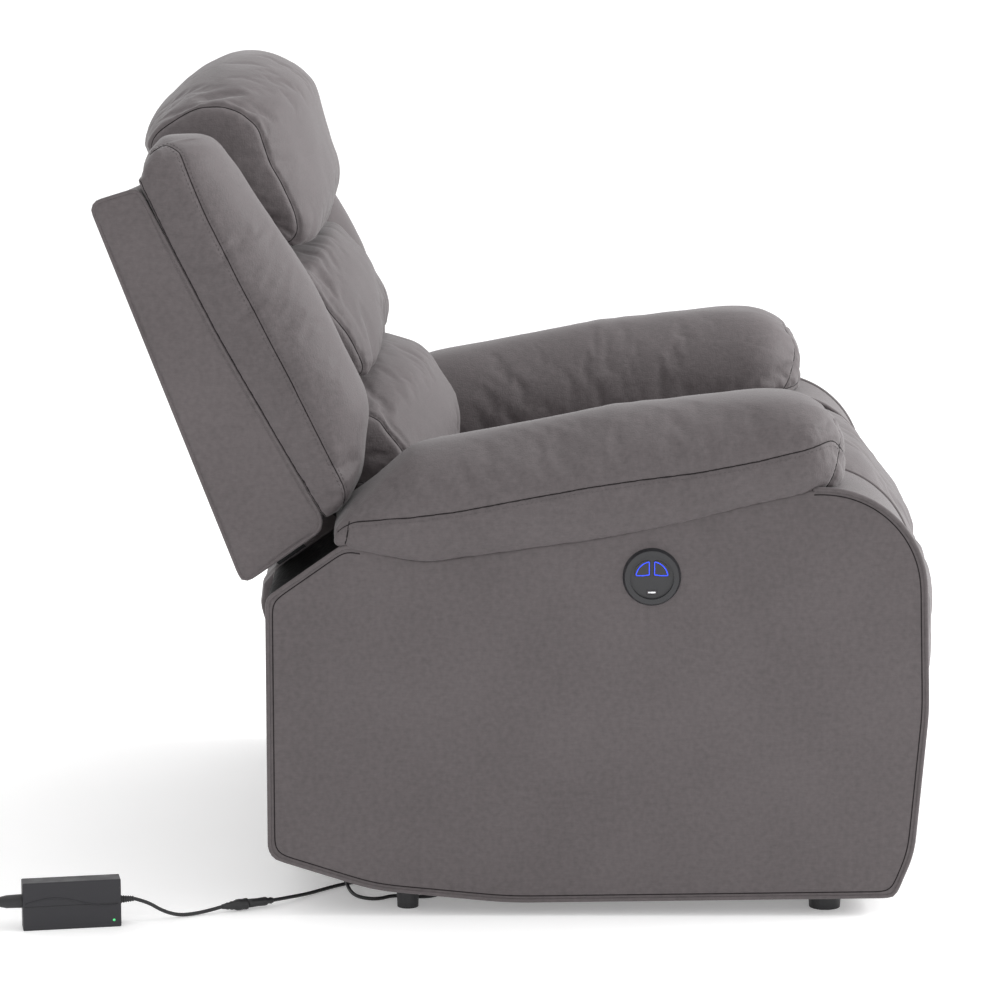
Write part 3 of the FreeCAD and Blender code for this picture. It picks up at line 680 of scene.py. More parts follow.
def thrown(piece, outline, start, way):
    """Where a line in (y, z) mm, thrown along x from beyond `start`, first meets the piece."""
    skin = bvh_of(piece)
    way = Vector((way, 0.0, 0.0))
    line = resampled(np.array([(start, y * MM, z * MM) for y, z in outline]), LINE_STEP, closed=False)
    found = [skin.ray_cast(Vector(p) - way * 2.0, way)[0] for p in line]
    return np.array([f for f in found if f is not None])


def pressed(piece, lines, depth, width):
    """Sinks the skin into a groove along the lines."""
    tree, _ = tree_of(lines)
    places, ways = coords(piece.data), normals(piece.data)
    gap = np.array([tree.find(p)[2] for p in places])
    move_to(piece.data, places - ways * (depth * np.exp(-((gap / width) ** 2)))[:, None])


def gathered(piece, lines, height, reach, wave, where=None, seed=0.0):
    """Puckers that run away from the seam lines and fade over `reach`."""
    tree, alongs = tree_of(lines)
    places, ways = coords(piece.data), normals(piece.data)
    moves = np.zeros(len(places))
    strength = np.ones(len(places)) if where is None else where(places)
    for i, p in enumerate(places):
        _, j, gap = tree.find(p)
        if gap > 4.0 * reach or strength[i] < 0.01:
            continue
        along = alongs[j] / wave
        ripple = noise((along, seed, gap / reach * 0.35)) + 0.5 * noise((along * 2.1, seed + 9.0, 0.0))
        fade = math.exp(-gap / reach) * (1.0 - math.exp(-((gap / 0.004) ** 2)))
        moves[i] = height * ripple * fade * strength[i]
    move_to(piece.data, places + ways * moves[:, None])


def rumpled(piece, height, size, stretch=(1.0, 1.0, 1.0), where=None, seed=0.0):
    """Slow folds and dips over a skin."""
    places, ways = coords(piece.data), normals(piece.data)
    scaled = places * (np.array(stretch) / size) + seed
    moves = np.array([noise(p) + 0.4 * noise(p * 2.3) for p in scaled]) * height
    if where is not None:
        moves *= where(places)
    move_to(piece.data, places + ways * moves[:, None])


def tube(line, radius, sides=8, closed=False):
    """Corners and faces of a round tube along a line of points."""
    line = np.asarray(line, float)
    ahead = np.roll(line, -1, axis=0) - np.roll(line, 1, axis=0)
    if not closed:
        ahead[0], ahead[-1] = line[1] - line[0], line[-1] - line[-2]
    ahead /= np.linalg.norm(ahead, axis=1)[:, None]
    side = np.cross(ahead[0], (0.31, 0.53, 0.79))
    radii = np.full(len(line), radius) if np.isscalar(radius) else radius
    rings = []
    for place, way, size in zip(line, ahead, radii):
        side = side - way * (side @ way)
        side /= np.linalg.norm(side)
        up = np.cross(way, side)
        turns = np.arange(sides) * (2.0 * math.pi / sides)
        rings.append(place + size * (np.outer(np.cos(turns), side) + np.outer(np.sin(turns), up)))
    if not closed:
        return rings_mesh(rings)
    corners, faces = rings_skin(rings + [rings[0]])
    last = len(rings) * sides
    return corners[:last], [tuple(i % last for i in face) for face in faces]


def joined(parts):
    """Several skins as one, as corners and faces."""
    corners, faces = [], []
    for part_corners, part_faces in parts:
        low = len(corners)
        corners += list(part_corners)
        faces += [tuple(low + i for i in f) for f in part_faces]
    return corners, faces


STITCH_LENGTH = 0.0040
STITCH_PITCH = 0.0058
STITCH_RADIUS = 0.00042
FIRST_STITCH = 0.003  # from the line's start
LINE_STEP = 0.004
LINE_SMOOTHING = 8
SEAM_RADIUS = 0.0009
SEAM_SINK = 0.0003


def stitches(piece, line, aside):
    """Short rounded stitches beside a seam line, lying on the skin."""
    base, ways = snapped(piece, resampled(line, LINE_STEP, closed=False), LINE_SMOOTHING)
    ways = smoothed(ways, LINE_SMOOTHING)
    ahead = np.gradient(base, axis=0)
    ahead /= np.maximum(np.linalg.norm(ahead, axis=1), 1e-9)[:, None]
    row, rise = snapped(piece, base + np.cross(ways, ahead) * aside)
    along = distances(row)
    radii = np.array([0.5, 0.9, 1.0, 0.9, 0.5]) * STITCH_RADIUS
    lift = np.array([-0.6, 0.2, 0.5, 0.2, -0.6]) * STITCH_RADIUS
    parts = []
    for start in np.arange(FIRST_STITCH, along[-1] - STITCH_LENGTH, STITCH_PITCH):
        at = start + np.array([0.0, 0.15, 0.5, 0.85, 1.0]) * STITCH_LENGTH
        places = np.stack([np.interp(at, along, row[:, k]) for k in range(3)], axis=1)
        up = np.stack([np.interp(at, along, rise[:, k]) for k in range(3)], axis=1)
        parts.append(tube(places + up * lift[:, None], radii, 6))
    return joined(parts)


def shaded_seam_tubes(piece, lines):
    """Thin tubes lying in the skin's grooves; their near-black colour is painted shade for the seams'
    creases.
    """
    parts = []
    for line in lines:
        places, ways = snapped(piece, resampled(line, LINE_STEP, closed=False), LINE_SMOOTHING)
        parts.append(tube(places - ways * SEAM_SINK, SEAM_RADIUS, 6))
    return joined(parts)


def sewn(piece, body, dark, rows=()):
    """Adds a piece's seam lines, near-black with painted shade for their creases, and its rows of stitches
    as (line, distance aside).
    """
    # The seam tubes take the near-black "seam" material: painted shade for the seams' creases.
    placed(mesh_object(piece.name + "_seams", *shaded_seam_tubes(piece, dark)), body, "thread", (), "seam")
    if rows:
        skin = joined([stitches(piece, line, aside) for line, aside in rows])
        placed(mesh_object(piece.name + "_stitches", *skin), body, "thread")


def piping(name, line, radius, body, slot="upholstery", closed=True):
    made = mesh_object(name, *tube(resampled(line, 0.006, closed), radius, 10, closed))
    return placed(made, body, slot)


def drawn_in(loop, gap):
    """An outline moved inwards by a small gap."""
    ahead = np.roll(loop, -1, axis=0) - np.roll(loop, 1, axis=0)
    ahead /= np.linalg.norm(ahead, axis=1)[:, None]
    return loop + gap * np.column_stack([-ahead[:, 1], ahead[:, 0]])


SLAB_STEP = 0.02  # between the points of a slab's spine and across its edge
SLAB_SHARES = (1.0, 0.9, 0.83, 0.76, 0.69, 0.62, 0.55, 0.48, 0.41, 0.34, 0.27, 0.21, 0.15, 0.1, 0.06, 0.03)
SLAB_CORNER = tuple(math.radians(a) for a in (0.0, 30.0, 60.0, 90.0))
WAVE_SIZE = 0.14


def slab(loop, faces, crown, edge, crowned=(True, True), waves=0.0, seed=0.0):
    """An upholstered board between two x, with rounded edges and slightly crowned, uneven faces.

    Its faces close in rings on a short line inside its outline, its spine."""
    spine = np.array(spine_of(loop))
    inward, depth = nearest_on(loop, spine)
    way = (inward - loop) / depth[:, None]
    low, high = faces
    length = np.linalg.norm(spine[1] - spine[0])
    stations = max(1, round(length / SLAB_STEP))
    along = np.linalg.norm(inward - spine[0], axis=1) / max(length, 1e-9)
    on_spine = spine[0] + np.outer(np.round(along * stations) / stations, spine[1] - spine[0])

    def ring(draw, x):
        return np.column_stack([np.full(len(loop), x), loop + way * np.reshape(draw, (-1, 1))])

    def face_ring(share, x, sign, rises):
        draw = np.maximum(share * depth, edge * 1.3)
        made = ring(draw, x)
        if share == 1.0:
            made[:, 1:] = on_spine
        if rises:
            swell = eased(draw, 0.0, 0.12)
            uneven = np.array([noise(Vector((y / WAVE_SIZE, z / WAVE_SIZE, seed))) for _, y, z in made])
            calm = 1.0 - eased(share, 0.5, 0.9)
            made[:, 0] += sign * (crown * (1.0 - (1.0 - share) ** 3) + waves * calm * swell * uneven)
        return made

    def corner_ring(angle, x, sign):
        draw = np.full(len(loop), edge * (1.0 - math.sin(angle)))
        return ring(draw, x - sign * edge * (1.0 - math.cos(angle)))

    rings = [face_ring(share, low, -1.0, crowned[0]) for share in SLAB_SHARES]
    rings += [corner_ring(angle, low, -1.0) for angle in SLAB_CORNER]
    middle = int(max(1, round((high - low - 2 * edge) / SLAB_STEP)))
    for share in np.linspace(0.0, 1.0, middle + 1)[1:-1]:
        rings.append(ring(np.zeros(len(loop)), low + edge + (high - low - 2 * edge) * share))
    rings += [corner_ring(angle, high, 1.0) for angle in SLAB_CORNER[::-1]]
    rings += [face_ring(share, high, 1.0, crowned[1]) for share in SLAB_SHARES[::-1]]
    return welded(*rings_skin(rings))


# ---------------------------------------------------------------- cords

CORD = 0.0046
MAINS_CORD = 0.0056

CHAIR_LEAD = (
    (-30, 172, 255), (-31, 202, 253), (-35, 232, 236), (-43, 245, 203), (-56, 242, 160),
    (-76, 226, 116), (-103, 202, 74), (-139, 176, 36), (-182, 152, 10), (-228, 130, 2.3),
    (-274, 111, 2.3), (-319, 99, 2.3), (-358, 98, 2.3), (-386, 113, 2.3), (-388, 140, 2.3),
    (-380, 164, 2.3), (-400, 184, 2.3), (-389, 209, 2.3), (-363, 220, 3.6), (-341, 226, 11.6),
    (-316, 235, 11.6), (-286, 245, 3.6), (-252, 246, 2.3), (-224, 228, 2.3), (-214, 198, 2.3),
    (-229, 170, 2.3), (-258, 157, 2.3), (-290, 166, 2.3), (-312, 192, 2.3), (-323, 222, 2.3),
    (-346, 247, 2.3), (-374, 271, 2.6), (-400, 293, 5.4), (-421, 313, 7.6),
)  # mm
ADAPTER_LEAD = (
    (-450.8, 374.9, 7.6), (-458, 390, 5), (-464, 408, 2.6), (-474, 427, 3.4), (-484, 446, 12),
    (-491.8, 464, 26), (-495.3, 480.1, 31),
)  # mm
MAINS_START = (
    (-526.6, 651.6, 35), (-529.5, 667, 34), (-531.5, 686, 22), (-529.5, 705, 9), (-526.5, 722, 4),
)  # mm
MAINS_END = (
    (-457.5, 742, 9.4), (-455.5, 722, 9.2), (-453, 703, 5.2), (-438, 684, 2.8), (-412, 682, 3),
    (-394, 701, 4.8), (-392.5, 724, 6.85),
)  # mm
COIL_CENTRE = (-490, 742)  # mm
COIL_TURNS = (
    (0.02, 38.8, 2.8), (0.75, 38.8, 2.8), (0.95, 33.0, 2.8), (1.75, 33.0, 2.8), (1.95, 27.2, 2.8),
    (2.7, 27.2, 2.8), (2.95, 27.4, 8.3), (3.75, 27.6, 8.4), (3.95, 33.2, 8.4), (4.75, 33.2, 8.4),
    (4.95, 38.6, 8.4), (6.1, 38.6, 8.4), (6.42, 34.5, 9.2),
)  # turns from the arrival, radius and height in mm
COIL_POINTS = 13  # in each turn


def in_metres(points):
    return [tuple(c * MM for c in p) for p in points]


def coil_points():
    """Six and a half turns on two layers, clockwise from above, from the side where the lead arrives."""
    turns, radii, heights = (np.array(column) for column in zip(*COIL_TURNS))
    at = np.linspace(turns[0], turns[-1], int(COIL_POINTS * (turns[-1] - turns[0])))
    radius, height = np.interp(at, turns, radii), np.interp(at, turns, heights)
    angle = math.pi - 2.0 * math.pi * at
    return [
        (COIL_CENTRE[0] + r * math.cos(a), COIL_CENTRE[1] + r * math.sin(a), z)
        for r, a, z in zip(radius, angle, height)
    ]


def lead(name, points, diameter, nodes):
    """A round cord along one smooth NURBS line through the route's control points."""
    data = bpy.data.curves.new(name, "CURVE")
    data.dimensions = "3D"
    data.resolution_u = 10
    data.bevel_depth = diameter / 2
    data.bevel_resolution = 3
    data.use_fill_caps = True
    spline = data.splines.new("NURBS")
    spline.points.add(len(points) - 1)
    for held, place in zip(spline.points, points):
        held.co = (*place, 1.0)
    spline.order_u = 3
    spline.use_endpoint_u = True
    made = bpy.data.objects.new(name, data)
    SCENE.collection.objects.link(made)
    return placed(made, "base", "cable", nodes)


def turned(line, radii, sides=24):
    """A lathed skin along a straight line, with (share along, radius in mm) stations."""
    start, end = (np.array(p) * MM for p in line)
    places = [start + (end - start) * share for share, _ in radii]
    return tube(places, np.array([r for _, r in radii]) * MM, sides)


CONNECTOR_LINE = ((-421, 313, 7.6), (-450.8, 374.9, 7.6))  # mm
CONNECTOR_RADII = (
    (0.0, 3.0), (0.05, 4.2), (0.1, 3.5), (0.14, 5.3), (0.17, 5.6), (0.3, 5.2), (0.42, 5.5),
    (0.49, 5.6), (0.495, 4.9), (0.505, 4.9), (0.51, 6.9), (0.54, 7.2), (0.6, 6.7), (0.66, 7.2),
    (0.72, 6.9), (0.78, 5.4), (0.82, 5.6), (0.86, 4.4), (0.9, 4.6), (0.94, 3.6), (1.0, 3.0),
)  # share along it, radius in mm
RELIEF_RIBS = 6
RIB_PROFILE = ((0.01, 0.0), (0.08, 0.3), (0.11, -0.5), (0.15, -0.5))  # share ahead, radius added in mm
RELIEF_LENGTH = 17.0  # mm
ADAPTER_TURN = math.radians(10.4)
ADAPTER_SIZE = (26.0, 120.0, 60.0)  # mm


def add_cords():
    connector = mesh_object("inline_connector_body", *turned(CONNECTOR_LINE, CONNECTOR_RADII))
    placed(connector, "base", "plug_plastic", ["inline_connector"])
    relief_end = np.array(ADAPTER_LEAD[-1])
    way = np.array([math.sin(-ADAPTER_TURN), math.cos(ADAPTER_TURN), 0.0])
    ribs = []
    for k in range(RELIEF_RIBS):
        share = k / RELIEF_RIBS
        size = 3.3 + 1.7 * share
        ribs += [(share + ahead, size + more) for ahead, more in RIB_PROFILE]
    ribs.append((1.0, 5.0))
    relief_line = (relief_end, relief_end + way * RELIEF_LENGTH)
    relief = mesh_object("adapter_strain_relief", *turned(relief_line, ribs))
    placed(relief, "base", "plug_plastic", ["strain_relief"])
    chair = lead("chair_lead_cord", in_metres(CHAIR_LEAD), CORD, ["chair_lead"])
    short = lead("adapter_lead_cord", in_metres(ADAPTER_LEAD), CORD, ["adapter_lead"])
    mains_route = in_metres([*MAINS_START, *coil_points(), *MAINS_END])
    mains = lead("mains_cord", mains_route, MAINS_CORD, ["mains_lead", "mains_coil"])


def add_adapter_details():
    """A raised wavy line along the adapter's broad face, its seam and its power light."""
    low, high = node_box("adapter")
    centre = (low + high) / 2
    out = np.array([-math.cos(ADAPTER_TURN), -math.sin(ADAPTER_TURN), 0.0])
    along = np.array([math.sin(-ADAPTER_TURN), math.cos(ADAPTER_TURN), 0.0])
    half = np.array(ADAPTER_SIZE) * MM / 2
    face = centre + out * half[0]
    up = np.array([0.0, 0.0, 1.0])
    wave = [
        face + along * (s * (half[1] - 0.004)) + up * (0.004 + 0.006 * math.sin(2.6 * s + 0.5))
        for s in np.linspace(-1.0, 1.0, 40)
    ]
    ridge = mesh_object("adapter_ridge", *tube(wave, 0.0009, 8))
    placed(ridge, "base", "adapter_plastic")
    seam = [
        centre + out * (across * (half[0] + 0.00005)) + along * (ahead * (half[1] + 0.00005))
        for across, ahead in (
            (1, -0.97), (1, 0.97), (0.9, 1), (-0.9, 1), (-1, 0.97), (-1, -0.97), (-0.9, -1), (0.9, -1),
        )
    ]
    line = mesh_object("adapter_parting_line", *tube(seam, 0.0004, 6, True))
    placed(line, "base", "adapter_plastic", (), "cable")
    light_at = face - along * (half[1] - 0.009) - up * 0.021
    glow = [light_at + out * proud for proud in (-0.0006, 0.0002, 0.0006, 0.0008)]
    light = mesh_object("adapter_light", *tube(glow, np.array([1.6, 1.6, 1.2, 0.5]) * MM, 16))
    placed(light, "base", "indicator")


def copied(source, name, side):
    """A copy of a finished left-hand piece for either side, mirrored for the right one."""
    made = source.copy()
    made.data = source.data.copy()
    made.name = made.data.name = name
    SCENE.collection.objects.link(made)
    if side < 0:
        move_to(made.data, coords(made.data) * (-1.0, 1.0, 1.0))
        made.data.flip_normals()
    return made


# ---------------------------------------------------------------- arms

PAD_SEAM = (
    (232, 494), (214, 499), (150, 502), (79, 511), (0, 526), (-80, 541), (-150, 551), (-212, 559),
    (-280, 572), (-348, 588), (-385, 599), (-400, 604),
)  # (y, z) in mm of the seam round each arm pad
PAD_END_SEAM = (
    (-340, 650), (-350, 643), (-365, 632), (-380, 609), (-387, 593), (-383, 572), (-374, 548), (-366, 535),
)  # (y, z) in mm of the seam round each pad's front end
PAD_REAR_SEAM = ((214, 498), (215, 485), (218, 468))
BAND_SHARES = (0.25, 0.5, 0.75, 0.92)  # down a pad's upright band
PAD_LAP = 0.007  # how far each pad laps over the side of its arm
PAD_STITCHES = 0.006  # from the seam
COVER_PIPING = 0.0028
PIPING_SINK = 0.0015


def chains(loop):
    """The upper and lower edges of an outline, as y and z from the front to the rear."""
    first, last = int(loop[:, 0].argmin()), int(loop[:, 0].argmax())
    turned_loop = np.roll(loop, -first, axis=0)
    cut = (last - first) % len(loop)
    one, two = turned_loop[: cut + 1], np.vstack([turned_loop[cut:], turned_loop[:1]])[::-1]
    return (one, two) if one[:, 1].mean() > two[:, 1].mean() else (two, one)


def arm_pad_skin():
    """A long pad: a flat underside, an upright band and a domed top, from the front end to the rear."""
    loop = side_loop("arm_pad_left", 0.004)
    upper, lower = chains(loop)
    low, high = node_box("arm_pad_left")
    middle, half = (low[0] + high[0]) / 2, (high[0] - low[0]) / 2 - 0.006
    seam_y, seam_z = np.array(PAD_SEAM[::-1]).T * MM
    turns = np.linspace(0.0, math.pi, 72)
    centre, reach = (low[1] + high[1]) / 2, (high[1] - low[1]) / 2 - 0.003
    rings, edges = [], []
    for y in centre - np.cos(turns) * reach:
        top = np.interp(y, upper[:, 0], upper[:, 1])
        under = np.interp(y, lower[:, 0], lower[:, 1]) - PAD_LAP
        margin = 0.25 * (top - under)
        seam = min(max(np.interp(y, seam_y, seam_z), under + margin), top - margin)
        front = max(0.0, 1.0 - (y - low[1]) / 0.085)
        rear = max(0.0, 1.0 - (high[1] - y) / 0.06)
        width = half * (1.0 - front ** 2.6) ** 0.42 * (1.0 - 0.10 * rear ** 3)
        width = max(width, 0.012)
        low_seam = under + 0.12 * (seam - under)
        arch = np.linspace(0.0, math.pi, 29)
        ring = []
        for a in arch:
            foot = seam + (low_seam - seam) * (1.0 - math.cos(a)) / 2.0
            across = math.copysign(abs(math.cos(a)) ** 0.86, math.cos(a))
            ring.append((middle + width * across, y, foot + (top - foot) * math.sin(a) ** 0.8))
        for share in BAND_SHARES:
            x = middle - width * (1.0 - 0.16 * share ** 4)
            ring.append((x, y, low_seam + (under - low_seam) * share))
        for share in np.linspace(-0.78, 0.78, 13):
            ring.append((middle + width * share, y, under))
        for share in BAND_SHARES[::-1]:
            x = middle + width * (1.0 - 0.16 * share ** 4)
            ring.append((x, y, seam + (under - seam) * share))
        rings.append(np.array(ring))
        edges.append((np.array(ring[0]), np.array(ring[28])))
    outer = np.array([e[0] for e in edges])
    inner = np.array([e[1] for e in edges])
    return rings_mesh(rings), [np.vstack([outer[::-1], inner])]


def lowered_underside(loop):
    """A pad's outline with its underside let down by the lap."""
    upper, lower = chains(loop)
    lower = lower - (0.0, PAD_LAP)
    return np.vstack([upper, lower[::-1]])


def add_arm_pads():
    skin, lines = arm_pad_skin()
    low, high = node_box("arm_pad_left")

    def still(places, ways):
        return ways[:, 2] < -0.75

    outline = lowered_underside(side_loop("arm_pad_left", 0.004))
    span = (low[0], high[0])
    source, lines = cushion("arm_pad_source", skin, lines, outline, span, 0.016, 0.014, 0.006, still)
    seam, _ = snapped(source, lines[0])
    end_seam = np.vstack([
        thrown(source, PAD_END_SEAM, 0.8, -1.0)[::-1],
        thrown(source, PAD_END_SEAM, 0.0, 1.0),
    ])
    rear_seam = thrown(source, PAD_REAR_SEAM, 0.8, -1.0)

    def at_front(places):
        return 0.10 + 1.3 * eased(-places[:, 1], 0.28, 0.37)

    gathered(source, [seam], 0.0024, 0.016, 0.012, at_front, 3.0)
    gathered(source, [end_seam], 0.0030, 0.020, 0.012, None, 8.0)
    gathered(source, [end_seam], 0.0022, 0.060, 0.034, None, 18.0)
    rumpled(source, 0.0018, 0.09, (1.0, 0.6, 1.0), lambda p: 0.2 + eased(-p[:, 1], 0.05, 0.3), 5.0)
    pressed(source, [seam, end_seam, rear_seam], 0.0026, 0.0035)
    half = len(seam) // 2
    for name, side in SIDES:
        pad = copied(source, f"arm_pad_{name}_cushion", side)
        flip = np.array([side, 1.0, 1.0])
        placed(pad, "base", "upholstery", [f"arm_pad_{name}"])
        # These lines become seam tubes, near-black with painted shade for their creases.
        dark = [line * flip for line in (seam, end_seam, rear_seam)]
        sewn(pad, "base", dark, [(line * flip, PAD_STITCHES * side) for line in (seam[:half], seam[half:])])
    bpy.data.objects.remove(source)


def clear_of_pad(loop):
    """The part of an arm's outline that its pad leaves in view, from the front round to the rear."""
    hidden = (loop[:, 1] > 0.44) & (loop[:, 0] > -0.345) & (loop[:, 0] < 0.20)
    first = int(np.flatnonzero(hidden & ~np.roll(hidden, -1))[0]) + 1
    turned_loop = np.roll(loop, -first, axis=0)
    return turned_loop[: int((~hidden).sum())]


def add_arm_covers():
    loop = side_loop("arm_cover_left", 0.008)
    shown, stitched = clear_of_pad(loop), clear_of_pad(drawn_in(loop, 0.0062))
    for name, outward in SIDES:
        low, high = node_box(f"arm_cover_{name}")
        skin = slab(loop, (low[0], high[0]), 0.0022, 0.004, (outward < 0, outward > 0), 0.0006, outward)
        cover = mesh_object(f"arm_cover_{name}_upholstery", *skin)
        placed(cover, "base", "upholstery", [f"arm_cover_{name}"])
        outer, inner = (high[0], low[0]) if outward > 0 else (low[0], high[0])
        for edge, x, sign in (("outer", outer, outward), ("inner", inner, -outward)):
            ring = np.column_stack([np.full(len(shown), x - sign * PIPING_SINK), shown])
            piping(f"arm_{name}_{edge}_piping", ring, COVER_PIPING, "base", closed=False)
        line = np.column_stack([np.full(len(stitched), outer + outward * 0.0006), stitched])
        sewn(cover, "base", [line])
        # A near-black strip over the rear top of each arm, under its pad's rear end: painted shade for the
        # gap there.
        span = (loop[:, 0] > 0.15) & (loop[:, 1] > 0.385)
        strip = drawn_in(loop, -0.0012)[span]
        strip = strip[np.argsort(strip[:, 0])]
        strip = np.vstack([strip, drawn_in(loop, 0.004)[span][np.argsort(loop[span][:, 0])][::-1]])
        lining = slab(strip, (low[0] + 0.005, high[0] - 0.005), 0.0, 0.0008, (False, False))
        placed(mesh_object(f"arm_{name}_rear_gap_shade", *lining), "base", "lining")


# ---------------------------------------------------------------- seat and footrest


def add_seat():
    loop = side_loop("seat_cushion", 0.008)
    low, high = node_box("seat_cushion")
    axes = ((0.0, low[2]), (0.0, 1.0), (-1.0, 0.0))
    skin, lines = lofted(loop, (low[0] + 0.004, high[0] - 0.004), axes, (0.026, 0.016, 0.0, 0.0), 2.8)

    def still(places, ways):
        return (ways[:, 2] < -0.6) | (ways[:, 1] > 0.8)

    seat, lines = cushion("seat_pad", skin, lines, loop, (low[0], high[0]), 0.022, 0.02, 0.0075, still)
    pressed(seat, lines, 0.003, 0.004)
    rumpled(seat, 0.0018, 0.11, (1.0, 1.0, 1.0), None, 11.0)
    gathered(seat, lines, 0.0018, 0.022, 0.020, None, 2.0)
    placed(seat, "base", "upholstery", ["seat_cushion"])
    sewn(seat, "base", lines)


def add_footrest():
    loop = side_loop("footrest_pad", 0.007)
    low, high = node_box("footrest_pad")
    axes = ((high[1], 0.0), (-1.0, 0.0), (0.0, 1.0))
    skin, lines = lofted(loop, (low[0] + 0.003, high[0] - 0.003), axes, (0.020, 0.006, 0.008, 0.0), 2.8)

    def still(places, ways):
        return ways[:, 1] > 0.6

    span = (low[0], high[0])
    pad, lines = cushion("footrest_cushion", skin, lines, loop, span, 0.016, 0.02, 0.0065, still)
    pressed(pad, lines, 0.0028, 0.004)
    gathered(pad, lines, 0.0016, 0.020, 0.020, None, 4.0)
    rumpled(pad, 0.0015, 0.10, seed=21.0)
    placed(pad, "footrest", "upholstery", ["footrest_pad"])
    sewn(pad, "footrest", lines)


# ---------------------------------------------------------------- backrest

WING_TOP = (0.463, 0.903)
WING_FOOT = (0.2485, 0.503)
BACK_OUT = (-0.88, 0.475)  # the way out of the back's face, in (y, z)
BACK_UP = (0.475, 0.88)
LEFT_WING_PLUMP = 0.016  # the left wing's crest is a little fuller
WING_LAP = 0.0035  # closes the seam between each wing and the side panel behind it
WING_STITCHING = (
    (452, 938), (436, 950), (416, 944), (404, 915), (385, 868), (344, 784), (285, 668), (219, 531),
    (222, 512),
)  # (y, z) in mm
WING_STITCHES = 0.0045  # on each side of that line


def wing_skin():
    """A fat roll: arches from the seam with the side panel, over the crest, to the seam inside it."""
    loop = side_loop("back_wing_left", 0.005)
    low, high = node_box("back_wing_left")
    top = int(np.linalg.norm(loop - WING_TOP, axis=1).argmin())
    foot = int(np.linalg.norm(loop - WING_FOOT, axis=1).argmin())
    rolled = np.roll(loop, -top, axis=0)
    cut = (foot - top) % len(loop)
    one, two = rolled[: cut + 1], np.vstack([rolled[cut:], rolled[:1]])[::-1]
    front, seam = (one, two) if len(one) > len(two) else (two, one)
    front = resampled(front, 0.008, closed=False)
    base, _ = nearest_on(front, seam)
    middle, half = (low[0] + high[0]) / 2, (high[0] - low[0]) / 2 - 0.004
    rings = []
    for crest, root in zip(front, base):
        arch = np.linspace(0.0, math.pi, 33)
        ring = []
        for a in arch:
            rise = math.sin(a) ** 0.72
            lean = 0.1 * math.sin(a)
            x = middle + half * (math.copysign(abs(math.cos(a)) ** 0.85, math.cos(a)) + lean)
            y, z = root + (crest - root) * rise
            ring.append((x, y, z))
        for share in np.linspace(-0.9, 0.9, 9):
            ring.append((middle + half * share, *root))
        rings.append(np.array(ring))
    outer = np.array([ring[0] for ring in rings])
    inner = np.array([ring[32] for ring in rings])
    return rings_mesh(rings), [outer, inner]


def plumped(places, rise):
    """Fills out the middle of a wing's crest by `rise`."""
    ahead = eased((places[:, 1:] - WING_TOP) @ BACK_OUT, 0.02, 0.08)
    up = eased(places[:, 2], 0.62, 0.74) * eased(-places[:, 2], -0.95, -0.84)
    return places + np.outer(ahead * up * rise, (0.0, *BACK_OUT))


def add_wings():
    skin, lines = wing_skin()
    low, high = node_box("back_wing_left")

    def still(places, ways):
        return (ways @ -np.array([0.0, *BACK_OUT])) > 0.8

    outline = side_loop("back_wing_left", 0.004)
    ahead = (outline - WING_TOP) @ BACK_OUT
    outline -= np.outer(WING_LAP * (1.0 - eased(ahead, 0.012, 0.03)), BACK_OUT)
    span = (low[0], high[0] + 0.006)
    source, lines = cushion("wing_source", skin, lines, outline, span, 0.016, 0.02, 0.006, still)
    seam = thrown(source, WING_STITCHING, 0.6, -1.0)

    def near_ends(places):
        high_up, low_down = eased(places[:, 2], 0.84, 0.93), eased(-places[:, 2], -0.60, -0.52)
        return 0.12 + 1.3 * np.maximum(high_up, low_down)

    gathered(source, [seam], 0.0032, 0.024, 0.016, near_ends, 1.0)
    gathered(source, lines[:1], 0.0024, 0.022, 0.017, near_ends, 6.0)
    rumpled(source, 0.0020, 0.09, (1.0, 1.0, 1.0), near_ends, 14.0)
    rumpled(source, 0.0007, 0.10, seed=31.0)
    pressed(source, [seam], 0.0014, 0.0045)
    pressed(source, lines, 0.002, 0.004)
    for name, side in SIDES:
        wing = copied(source, f"back_wing_{name}_cushion", side)
        plump = LEFT_WING_PLUMP if side > 0 else 0.0
        move_to(wing.data, plumped(coords(wing.data), plump))
        stitching, *ends = [plumped(line * (side, 1.0, 1.0), plump) for line in (seam, *lines)]
        placed(wing, "backrest", "upholstery", [f"back_wing_{name}"])
        sewn(wing, "backrest", [stitching, *ends], [(stitching, WING_STITCHES), (stitching, -WING_STITCHES)])
    bpy.data.objects.remove(source)


def drooped(places, low, high, depth, half):
    """Lets a cushion's corners hang, most at the height `high` and not at all at the height `low`."""
    down = -np.array([0.0, *BACK_UP]) * depth
    share = (places[:, 2] - low) / (high - low)
    amount = eased(share, 0.0, 1.0) * (np.abs(places[:, 0]) / half) ** 2.2
    return places + amount[:, None] * down


